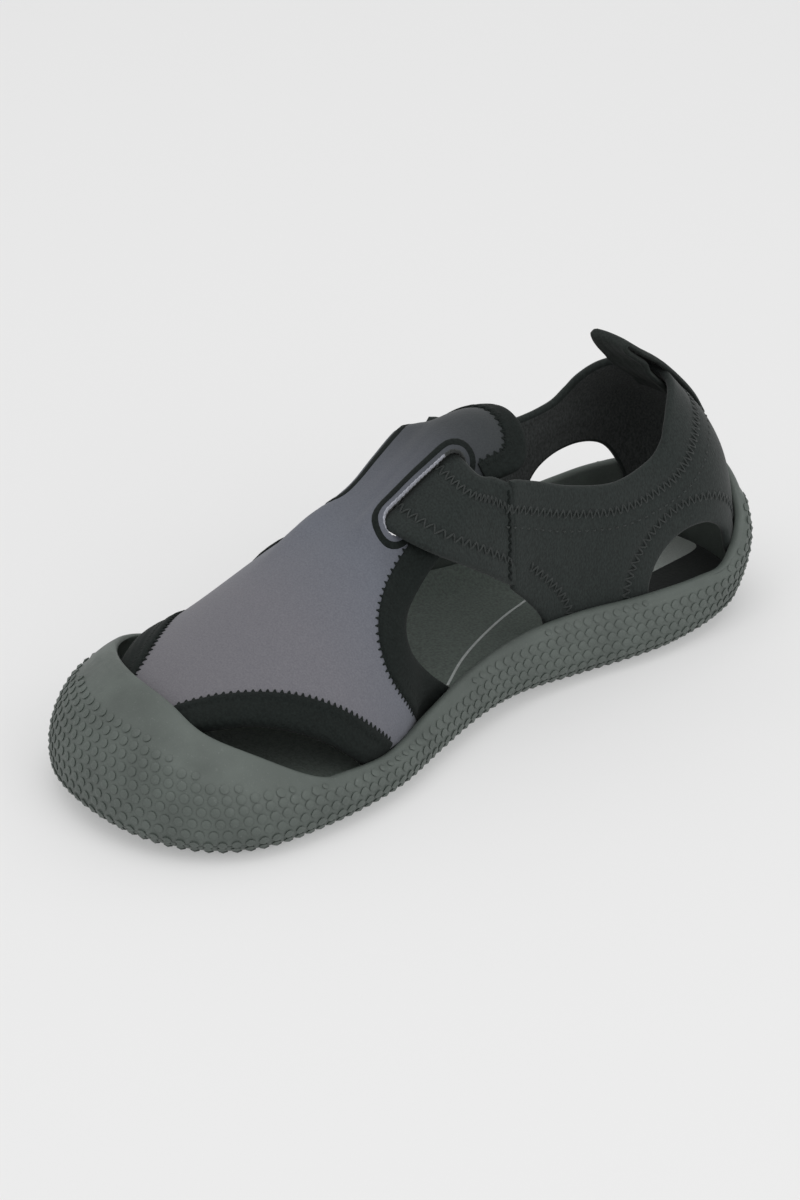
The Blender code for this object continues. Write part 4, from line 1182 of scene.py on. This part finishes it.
def joined(*meshes):
    """Several meshes as one."""
    points, faces, start = [], [], 0
    for some_points, some_faces in meshes:
        points.append(some_points)
        faces += [tuple(i + start for i in face) for face in some_faces]
        start += len(some_points)
    return np.concatenate(points), faces


def sweep(path, profile, surface, closed=False, settle=None):
    """A section of (inwards, height) pairs carried along a pattern path on a surface."""
    inwards = loop_sideways(path) if closed else sideways(path)
    columns = []
    for depth, height in profile:
        places = path + inwards * depth
        point, normal = surface(places[:, 0], places[:, 1])
        heights = np.full(len(path), height)
        if settle is not None:
            heights = settle(point, heights)
        columns.append(point + normal * heights[:, None])
    points = np.stack(columns, axis=1).reshape(-1, 3)
    rows, count = len(path), len(profile)
    if not closed:
        return points, tube_faces(rows, count)
    return points, [tuple(i % len(points) for i in face) for face in ring_faces(rows + 1, count)]


def cap_front(x):
    """Where the edge of the toe cap lies along the shoe, at a place across it."""
    edge, share = wall_edge(ring_angles())
    cap = edge[share > 0]
    order = np.argsort(cap[:, 0])
    return np.interp(x, cap[order, 0], cap[order, 1])


def resized(section, wide, high=1.0):
    """A tape's section with its depth, and its height over the vamp's face, made larger or smaller."""
    return [(depth * wide if depth > 0 else depth, height * high if height > 0 else height)
            for depth, height in section]


# Section of the folded edge tape: how far in from the edge, and the height over the vamp's face
TAPE_SECTION = [
    (6.6, 0.10), (6.5, 0.45), (6.1, 0.72), (5.3, 0.80), (4.6, 0.72), (3.9, 0.84), (2.9, 1.05), (1.6, 1.12),
    (0.7, 1.0), (0.1, 0.62), (-0.25, -0.1), (-0.38, -1.0), (-0.25, -1.9), (0.1, -2.5), (0.8, -2.9),
    (2.0, -3.0), (4.6, -2.9), (5.2, -2.6), (5.2, -2.2), (2.5, -2.15), (0.35, -2.15), (0.15, -1.0),
    (0.35, 0.08), (3.0, 0.08),
]
TONGUE_SECTION = resized(TAPE_SECTION, TONGUE_TAPE_WIDTH, TONGUE_TAPE_HEIGHT)
SIDE_SECTION = resized(TAPE_SECTION, SIDE_TAPE_WIDENING)
SLOT_SECTION = [
    (-0.72, -0.1), (-0.68, 0.08), (-0.4, 0.2), (0.0, 0.24), (0.4, 0.2), (0.68, 0.08), (0.72, -0.1),
]


def settle_tape(point, heights):
    """Press a tape flat where it goes down inside the sole's rim or in under the cap."""
    over_rim = ease(*TAPE_RIM_SPAN, point[:, 2] - rim(point[:, 1], point[:, 0] > 0))
    behind_cap = ease(*TAPE_CAP_SPAN, point[:, 1] - cap_front(point[:, 0]))
    free = blend(TAPE_PRESSED, 1.0, np.minimum(over_rim, behind_cap))
    return np.where(heights > TAPE_FACE, heights * free, heights)


def beyond(before, end):
    """A point further on than the end of a path, so that a tape's cut end is hidden by the rim."""
    step = np.array(end) - np.array(before)
    return tuple(np.array(end) + step * TAPE_TUCK / np.linalg.norm(step))


def side_tape_edge(cut):
    """The part of a side window's edge that carries tape: from the rim to under the strap."""
    edge = smooth_path([beyond(cut[1], cut[0])] + cut, TAPE_STEP)
    foremost = edge[:, 0].argmin()
    return edge[(np.arange(len(edge)) < foremost) | (edge[:, 0] < SIDE_TAPE_END)]


def tape_stitches(path, sign, inner, outer, top, pitch):
    """Zigzag threads over the free edge of an edge tape, from its face down to the vamp."""
    half = (outer - inner) / 2
    even = smooth_path(path + sideways(path) * (inner + half), pitch / 2)
    places = even + sideways(even) * by_turns(len(even), -half, half)
    point, normal = vamp_surface(places[:, 0], sign * places[:, 1])
    heights = settle_tape(point, by_turns(len(even), top, TAPE_STITCH_LOW)[:, 0])
    point = point + normal * heights[:, None]
    over_rim = point[:, 2] > rim(point[:, 1], point[:, 0] > 0) + TAPE_STITCH_CLEAR
    return sewn_line(point, normal, over_rim & (point[:, 1] > cap_front(point[:, 0]) + TAPE_STITCH_CLEAR))


FOOTBED_LINE = [(15.0, -3.2), (8.2, 6.2), (1.5, 17.9), (-3.2, 27.6), (-6.0, 35.5)]
FOOTBED_LINE_SECTION = [(-0.325, -0.1), (-0.2925, 0.06), (0.2925, 0.06), (0.325, -0.1)]


def footbed_surface(x, y):
    """The footbed's upper face, with its normals taken as upright."""
    point = with_height(np.stack([x, y], -1), insole_top(y))
    return point, np.broadcast_to((0.0, 0.0, 1.0), point.shape)


# Plain pale patch on the footbed's heel: its middle, half width and half length
PATCH_MIDDLE = (-4.6, 70.5)
PATCH_HALF = (6.4, 12.5)
PATCH_TURN = math.radians(7.0)
PATCH_ROUND = 0.35
PATCH_STATIONS = 64
PATCH_HEIGHTS = (-0.2, 0.06)


def footbed_pale_patch():
    """A plain patch with round corners on the heel of the footbed."""
    turn = ring_angles(PATCH_STATIONS)
    x, y = (half * np.sign(way) * np.abs(way) ** PATCH_ROUND
            for half, way in zip(PATCH_HALF, (np.cos(turn), np.sin(turn))))
    flat = np.stack([x * math.cos(PATCH_TURN) - y * math.sin(PATCH_TURN),
                     x * math.sin(PATCH_TURN) + y * math.cos(PATCH_TURN)], -1) + PATCH_MIDDLE
    return ring_solid([with_height(flat, insole_top(flat[:, 1]) + height) for height in PATCH_HEIGHTS])


def add_nodes(finish, *kinds):
    """New shader nodes in a material, by their type names."""
    return [finish.node_tree.nodes.new("ShaderNode" + kind) for kind in kinds]


def preset(node, values):
    """Set plain inputs of a shader node by their names."""
    for name, value in values.items():
        node.inputs[name].default_value = value


def new_finish(name, roughness, sheen=0.0, specular=0.5):
    """A material with its principled shader, and the object's own coordinates."""
    finish = bpy.data.materials.new(name)
    finish.use_nodes = True
    shader = finish.node_tree.nodes["Principled BSDF"]
    preset(shader, {"Metallic": 0.0, "Roughness": roughness, "Specular IOR Level": specular,
                    "Sheen Weight": sheen, "Sheen Roughness": 0.5})
    place = add_nodes(finish, "TexCoord")[0].outputs["Object"]
    return finish, shader, place


def noise(finish, place, size, detail=2.0, stretch=None):
    """A noise value with features of a size in millimetres."""
    links = finish.node_tree.links
    texture = add_nodes(finish, "TexNoise")[0]
    preset(texture, {"Scale": 1 / (size * MILLIMETRE), "Detail": detail})
    if stretch:
        mapping = add_nodes(finish, "Mapping")[0]
        preset(mapping, {"Scale": stretch})
        links.new(place, mapping.inputs["Vector"])
        place = mapping.outputs["Vector"]
    links.new(place, texture.inputs["Vector"])
    return texture.outputs["Fac"]


def ramp(finish, value, stops):
    """A colour ramp over a value: pairs of place and linear colour."""
    made = add_nodes(finish, "ValToRGB")[0]
    stretch = made.color_ramp
    while len(stretch.elements) < len(stops):
        stretch.elements.new(0.5)
    for element, (place, colour) in zip(stretch.elements, stops):
        element.position = place
        element.color = (*colour, 1.0)
    finish.node_tree.links.new(value, made.inputs["Fac"])
    return made.outputs["Color"]


def combined(finish, first, second, mode):
    """Two colours put together in full, multiplied or screened."""
    mix = add_nodes(finish, "Mix")[0]
    mix.data_type = "RGBA"
    mix.blend_type = mode
    mix.inputs[0].default_value = 1.0
    for socket, colour in ((6, first), (7, second)):
        finish.node_tree.links.new(colour, mix.inputs[socket])
    return mix.outputs[2]


def bumped(finish, shader, heights):
    """Fine relief from several values, each with its depth in millimetres."""
    links = finish.node_tree.links
    normal = None
    for value, depth in heights:
        bump = add_nodes(finish, "Bump")[0]
        preset(bump, {"Strength": 1.0, "Distance": depth * MILLIMETRE})
        links.new(value, bump.inputs["Height"])
        if normal is not None:
            links.new(normal, bump.inputs["Normal"])
        normal = bump.outputs["Normal"]
    links.new(normal, shader.inputs["Normal"])


def shades(colour, spread):
    """A darker and a lighter shade of a colour, as ramp stops."""
    return [(0.3, tuple(c * (1 - spread) for c in colour)), (0.7, tuple(c * (1 + spread) for c in colour))]


def rubber():
    """Matt moulded rubber, slightly dusty."""
    finish, shader, place = new_finish("rubber", 0.55, 0.0, 0.45)
    colour = ramp(finish, noise(finish, place, 9.0, 4.0), shades(RUBBER_COLOUR, 0.12))
    dust = ramp(finish, noise(finish, place, 0.5), [(0.62, (0.0, 0.0, 0.0)), (0.80, (0.04, 0.04, 0.04))])
    links = finish.node_tree.links
    links.new(combined(finish, colour, dust, "SCREEN"), shader.inputs["Base Color"])
    rough = add_nodes(finish, "MapRange")[0]
    preset(rough, {"To Min": 0.44, "To Max": 0.66})
    links.new(noise(finish, place, 1.6, 3.0), rough.inputs["Value"])
    links.new(rough.outputs["Result"], shader.inputs["Roughness"])
    bumped(finish, shader, [(noise(finish, place, 0.35), 0.05), (noise(finish, place, 2.5), 0.05)])
    return finish


def knit(name, colour, spread, roughness, sheen, grain=0.42):
    """Napped knit over neoprene foam, in one colour."""
    finish, shader, place = new_finish(name, roughness, sheen, 0.25)
    fibres = noise(finish, place, grain, 2.0, (1.0, 1.0, 0.55))
    shade = ramp(finish, fibres, shades(colour, spread))
    finish.node_tree.links.new(shade, shader.inputs["Base Color"])
    bumped(finish, shader, [(fibres, 0.09), (noise(finish, place, 6.0), 0.12)])
    return finish


def fading(name, roughness, sheen, stops, grain, tints, relief):
    """Napped knit whose colour changes along the shoe: places in millimetres and linear colours."""
    finish, shader, place = new_finish(name, roughness, sheen, 0.25)
    links = finish.node_tree.links
    parts, span = add_nodes(finish, "SeparateXYZ", "MapRange")
    links.new(place, parts.inputs["Vector"])
    links.new(parts.outputs["Y"], span.inputs["Value"])
    first, last = stops[0][0], stops[-1][0]
    preset(span, {"From Min": first * MILLIMETRE, "From Max": last * MILLIMETRE})
    colour = ramp(finish, span.outputs["Result"], [((y - first) / (last - first), tone) for y, tone in stops])
    fibres = noise(finish, place, grain)
    tint = ramp(finish, fibres, tints)
    links.new(combined(finish, colour, tint, "MULTIPLY"), shader.inputs["Base Color"])
    fine, coarse_size, coarse = relief
    bumped(finish, shader, [(fibres, fine), (noise(finish, place, coarse_size), coarse)])
    return finish


# Print of the vamp: places along the shoe in millimetres and linear colours, from the toe to the tongue
PRINT = [
    (-78.0, (0.160, 0.154, 0.166)),
    (-40.0, (0.158, 0.156, 0.174)),
    (-20.0, (0.134, 0.143, 0.168)),
    (-4.0, (0.098, 0.105, 0.124)),
    (10.0, (0.044, 0.049, 0.053)),
    (28.0, (0.028, 0.033, 0.033)),
]
PRINT_TINTS = [(0.3, (0.80, 0.80, 0.82)), (0.7, (1.0, 1.0, 1.0))]
# Footbed colour along the shoe in millimetres: its own cloth colour up to 44, then painted shade, nearly
# black, over the heel from 52 on, standing in for the shadow inside the heel
FOOTBED_FADE_TO_SHADE = [(44.0, (0.1743, 0.2086, 0.1857)), (52.0, (0.0286, 0.0329, 0.0314))]
FOOTBED_TINTS = [(0.3, (0.56, 0.56, 0.56)), (0.7, (0.84, 0.84, 0.84))]
RUBBER_COLOUR = (0.088, 0.104, 0.094)
BLACK_COLOUR = (0.0135, 0.0182, 0.0168)
TAPE_COLOUR = (0.0085, 0.0115, 0.0105)
THREAD_COLOUR = (0.0125, 0.0168, 0.0155)
LINE_COLOUR = (0.50, 0.53, 0.52)
PATCH_COLOUR = (0.36, 0.39, 0.37)
LINING_COLOUR = (0.048, 0.052, 0.051)
CUT_EDGE_COLOUR = (0.33, 0.34, 0.385)
WEBBING_COLOUR = (0.020, 0.024, 0.022)


def woven(name, colour, roughness, rib):
    """Woven tape with fine slanting ribs."""
    finish, shader, place = new_finish(name, roughness, 0.03, 0.12)
    links = finish.node_tree.links
    shade = ramp(finish, noise(finish, place, 0.5), shades(colour, 0.3))
    links.new(shade, shader.inputs["Base Color"])
    wave = add_nodes(finish, "TexWave")[0]
    wave.bands_direction = "DIAGONAL"
    preset(wave, {"Scale": 1 / (rib * MILLIMETRE) / 6.0, "Distortion": 0.6})
    links.new(place, wave.inputs["Vector"])
    bumped(finish, shader, [(wave.outputs["Fac"], 0.08), (noise(finish, place, 0.4), 0.05)])
    return finish


def plain_thread(name, colour):
    """Sewing thread with a little shine."""
    finish, shader, place = new_finish(name, 0.55, 0.1, 0.4)
    shade = ramp(finish, noise(finish, place, 0.6), shades(colour, 0.35))
    finish.node_tree.links.new(shade, shader.inputs["Base Color"])
    bumped(finish, shader, [(noise(finish, place, 0.15, 1.0), 0.03)])
    return finish


def add_object(name, data):
    """A new object in the scene."""
    made = bpy.data.objects.new(name, data)
    bpy.context.collection.objects.link(made)
    return made


def placed_mesh(name, points, faces):
    """A mesh of points in millimetres about the last's origin, placed in the part's frame."""
    mesh = bpy.data.meshes.new(name)
    mesh.from_pydata(((points + LAST_ORIGIN) * MILLIMETRE).tolist(), [], faces)
    return mesh


def add_piece(name, solid, finishes, slot, *nodes):
    """Make one piece of the shoe: its mesh in the part's frame, its finish and the solids it stands for."""
    mesh = placed_mesh(name, *solid[:2])
    for finish in finishes:
        mesh.materials.append(finish)
    if len(solid) > 2:
        mesh.polygons.foreach_set("material_index", solid[2])
    shape = bmesh.new()
    shape.from_mesh(mesh)
    bmesh.ops.recalc_face_normals(shape, faces=shape.faces)
    shape.to_mesh(mesh)
    shape.free()
    mesh.shade_smooth()
    mesh.set_sharp_from_angle(angle=SHARP_ANGLE)
    made = add_object(name, mesh)
    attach(made, "root")
    if nodes:
        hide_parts(*nodes)
    return made


def groove_boxes():
    """Boxes that cut plain cross grooves into the two pads of the tread."""
    points, faces = [], []
    for front, back in (FOREFOOT_PAD, HEEL_PAD):
        count = int((back - front - GROOVE_PITCH) // GROOVE_PITCH) + 1
        first = (front + back) / 2 - GROOVE_PITCH * (count - 1) / 2
        for y in first + GROOVE_PITCH * np.arange(count):
            medial = cup_side(y, True) + UPPER_INSET - GROOVE_MARGIN
            lateral = cup_side(y, False) - UPPER_INSET + GROOVE_MARGIN
            faces += [tuple(len(points) + i for i in quad) for quad in BOX_FACES]
            for z in (-GROOVE_DEPTH, GROOVE_DEPTH):
                for dy in (-GROOVE_WIDTH / 2, GROOVE_WIDTH / 2):
                    points += [(lateral, y + dy, z), (medial, y + dy, z)]
    return np.array(points), faces


def cut_grooves(sole):
    """Cut the tread's grooves into the sole and keep the result as its mesh."""
    cutter = add_object("groove_boxes", placed_mesh("groove_boxes", *groove_boxes()))
    cut = sole.modifiers.new("grooves", "BOOLEAN")
    cut.operation = "DIFFERENCE"
    cut.solver = "EXACT"
    cut.object = cutter
    bpy.context.view_layer.update()
    whole = bpy.data.meshes.new_from_object(sole.evaluated_get(bpy.context.evaluated_depsgraph_get()))
    sole.modifiers.clear()
    sole.data = whole
    bpy.data.objects.remove(cutter, do_unlink=True)


def dress_sole():
    """The cup sole with its bumps, and the footbed with its line and its patch."""
    moulded = rubber()
    outer, inner, _ = sole_rows()
    sole = add_piece("cup_sole", ring_solid(np.concatenate([outer, inner])), [moulded], "rubber", "outsole")
    cut_grooves(sole)
    add_piece("sole_bumps", bump_mesh(), [moulded], "rubber")
    # The footbed's cloth turns to painted shade over the heel.
    cover = fading("footbed_cloth_painted_shade", 0.9, 0.1, FOOTBED_FADE_TO_SHADE, 0.6, FOOTBED_TINTS, (0.09, 6.0, 0.12))
    footbed = add_piece("footbed", ring_solid(insole_rows()), [cover], "footbed", "insole")
    line = sweep(smooth_path(FOOTBED_LINE, TAPE_STEP), FOOTBED_LINE_SECTION, footbed_surface)
    add_piece("footbed_line", line, [knit("footbed_line", LINE_COLOUR, 0.15, 0.7, 0.0)], "footbed")
    # A pale patch on the footbed's heel, much lighter than the footbed round it.
    patch_finish = knit("footbed_pale_patch", PATCH_COLOUR, 0.12, 0.8, 0.0)
    add_piece("footbed_pale_patch", footbed_pale_patch(), [patch_finish], "footbed")


def dress_upper():
    """The vamp, the back upper, the strap, the heel loop, the edge tapes and their sewing."""
    print_cloth = fading("printed_neoprene", 0.85, 0.12, PRINT, 0.38, PRINT_TINTS, (0.07, 7.0, 0.10))
    black = knit("black_neoprene", BLACK_COLOUR, 0.35, 0.82, 0.12)
    lining = knit("lining", LINING_COLOUR, 0.4, 0.9, 0.1)
    cut_edge = knit("cut_edge", CUT_EDGE_COLOUR, 0.3, 0.95, 0.2, 0.3)
    tape = woven("tape", TAPE_COLOUR, 0.8, 0.7)
    thread = plain_thread("black_thread", THREAD_COLOUR)

    slots = [pinked(slot_loop(sign)) for sign in (1, -1)]
    vamp = panel_mesh(vamp_loop(), slots, pressed_vamp, VAMP_EDGE_BULGE)
    add_piece("vamp", vamp, [print_cloth, lining, lining, cut_edge], "printed_neoprene", "upper_vamp")
    lines = [sweep(path, SLOT_SECTION, pressed_vamp, True) for path in SLOT_PATHS]
    add_piece("slot_lines", joined(*lines), [tape], "tape")

    quarter = panel_mesh(quarter_loop(), [], sewn_quarter)
    add_piece("quarter", quarter, [black, lining, black], "black_neoprene", "upper_quarter")
    rows = [zigzag(seam, sewn_quarter) for seam in QUARTER_SEAMS]
    second = QUARTER_SEAMS[0] + sideways(QUARTER_SEAMS[0]) * (DASH_EDGE - STITCH_EDGE)
    rows.append(dashes(second, sewn_quarter))
    add_piece("quarter_stitches", joined(*rows), [thread], "tape")

    grid = widened(strap_grid(), STRAP_COLUMNS)
    band = strip_mesh(grid, strap_upper, rounded(STRAP_HALF_LOWER, STRAP_WIDTH, STRAP_EDGE_LOWER))
    add_piece("strap_band", band, [black], "black_neoprene", "strap")
    surface = grid_surface(grid, strap_upper)
    rows = [strap_row(surface, len(grid), share) for share in STRAP_LINES]
    add_piece("strap_stitches", joined(*rows), [thread], "tape")
    add_piece("strap_seam", strap_seam(surface), [tape], "tape")

    loop = widened(tab_grid(), TAB_FINE_COLUMNS)
    edge = rounded(WEBBING / 2, 2 * TAB_HALF_WIDTH, TAB_EDGE)
    webbing = woven("webbing", WEBBING_COLOUR, 0.75, 0.9)
    add_piece("heel_loop", strip_mesh(loop, edge, edge), [webbing], "tape", "pull_tab")
    dress_edges(tape)


def strap_row(surface, rows, share):
    """One zigzag row along the strap, at a share across it."""
    count = int(round(rows * STRAP_STEP / (STITCH_PITCH / 2)))
    swing = by_turns(count, 0.5, -0.5)[:, 0] * STITCH_WIDTH / STRAP_WIDTH
    return sewn_line(*surface(np.linspace(*STRAP_ROW_SPAN, count), share + swing))


def strap_seam(surface):
    """The row of dark stitches across the strap where it is sewn to the back upper."""
    along = by_turns(SEAM_STITCHES, *SEAM_ALONG)[:, 0]
    point, normal = surface(along, np.linspace(*SEAM_ACROSS, SEAM_STITCHES))
    return sewn_line(point, normal, None, SEAM_THREAD, SEAM_RISE)


def dress_edges(tape):
    """The folded edge tapes of the vamp with the zigzag rows that hold them."""
    rows = []
    sides = (("medial", 1, TOE_CUT, SIDE_CUT), ("lateral", -1, OUTER_TOE_CUT, OUTER_SIDE_CUT))
    for side, sign, toe_cut, side_cut in sides:

        def surface(y, across, sign=sign):
            return vamp_surface(y, sign * across)

        toe_edge = smooth_path(toe_cut + [beyond(toe_cut[-2], toe_cut[-1])], TAPE_STEP)
        toe_edge = toe_edge[toe_edge[:, 0] > TOE_TUCK + TOE_TAPE_INSET]
        runs = (("toe", toe_edge, TAPE_SECTION, 1.0, TOE_STITCH_PITCH),
                ("side", side_tape_edge(side_cut), SIDE_SECTION, SIDE_TAPE_WIDENING, SIDE_STITCH_PITCH))
        for place, edge, section, wide, pitch in runs:
            name = place + "_" + side
            strip = sweep(edge, section, surface, settle=settle_tape)
            add_piece("tape_" + name, strip, [tape], "tape", "binding_" + name)
            inner, outer = TAPE_STITCH[0] * wide, TAPE_STITCH[1] * wide + TAPE_STITCH_PAST
            rows.append(tape_stitches(edge, sign, inner, outer, TAPE_STITCH_TOP, pitch))
    tongue_edge = smooth_path(TONGUE_END, TAPE_STEP)
    strip = sweep(tongue_edge, TONGUE_SECTION, vamp_surface)
    add_piece("tape_tongue", strip, [tape], "tape", "binding_tongue")
    rows.append(tape_stitches(tongue_edge, 1, *TONGUE_STITCH, TONGUE_STITCH_TOP, STITCH_PITCH))
    add_piece("tape_stitches", joined(*rows), [tape], "tape")


def add_floor():
    """A wide plain pale floor."""
    corners = [(FLOOR_HALF * x, FLOOR_HALF * y, 0) for x, y in ((-1, -1), (1, -1), (1, 1), (-1, 1))]
    mesh = bpy.data.meshes.new("floor")
    mesh.from_pydata(corners, [], [(0, 1, 2, 3)])
    finish, shader, _ = new_finish("floor", 0.9, 0.0, 0.1)
    colour = (*FLOOR_COLOUR, 1.0)
    preset(shader, {"Base Color": colour, "Emission Color": colour, "Emission Strength": FLOOR_GLOW})
    mesh.materials.append(finish)
    made = add_object("floor", mesh)


FLOOR_COLOUR = (0.52, 0.52, 0.52)
FLOOR_GLOW = 0.585
WORLD_LIGHT = (1.0, 1.0, 1.0)
WORLD_STRENGTH = 0.70
FLOOR_HALF = 6.0

# Lamps: name, place, size and power
LAMPS = [("overhead", (0.1, -0.2, 1.5), 1.4, 6.5), ("fill", (1.3, 0.1, 0.8), 1.0, 4.5)]


def add_lights():
    """Soft studio light: a bright even room, one large lamp overhead and one at the side."""
    world = bpy.data.worlds.new("studio")
    world.use_nodes = True
    preset(world.node_tree.nodes["Background"], {"Color": (*WORLD_LIGHT, 1.0), "Strength": WORLD_STRENGTH})
    bpy.context.scene.world = world
    bpy.context.scene.view_settings.view_transform = "Standard"
    for name, place, size, power in LAMPS:
        lamp = bpy.data.lights.new(name, "AREA")
        lamp.size = size
        lamp.energy = power
        made = add_object(name, lamp)
        made.location = place
        made.rotation_mode = "QUATERNION"
        made.rotation_quaternion = (-Vector(place)).to_track_quat("-Z", "Y")


def add_camera():
    """The camera where the photographer stood, turned to the shoe, the same way up."""
    data = bpy.data.cameras.new("camera")
    data.lens = CAMERA_LENS
    data.sensor_width = CAMERA_SENSOR
    made = add_object("camera", data)
    ahead = (Vector(CAMERA_TARGET) - Vector(CAMERA_PLACE)).normalized()
    right = ahead.cross(Vector(CAMERA_UP)).normalized()
    up = right.cross(ahead)
    turned = Matrix((right, up, -ahead)).transposed().to_4x4()
    made.matrix_world = Matrix.Translation(CAMERA_PLACE) @ turned
    bpy.context.scene.camera = made


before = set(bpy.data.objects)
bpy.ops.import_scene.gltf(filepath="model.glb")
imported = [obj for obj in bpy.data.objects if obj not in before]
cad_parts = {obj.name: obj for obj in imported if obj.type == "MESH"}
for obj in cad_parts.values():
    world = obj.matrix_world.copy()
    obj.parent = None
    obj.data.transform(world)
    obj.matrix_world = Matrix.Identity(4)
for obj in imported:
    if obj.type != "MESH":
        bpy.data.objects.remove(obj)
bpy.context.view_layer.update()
dress_sole()
dress_upper()
add_floor()
add_lights()
add_camera()
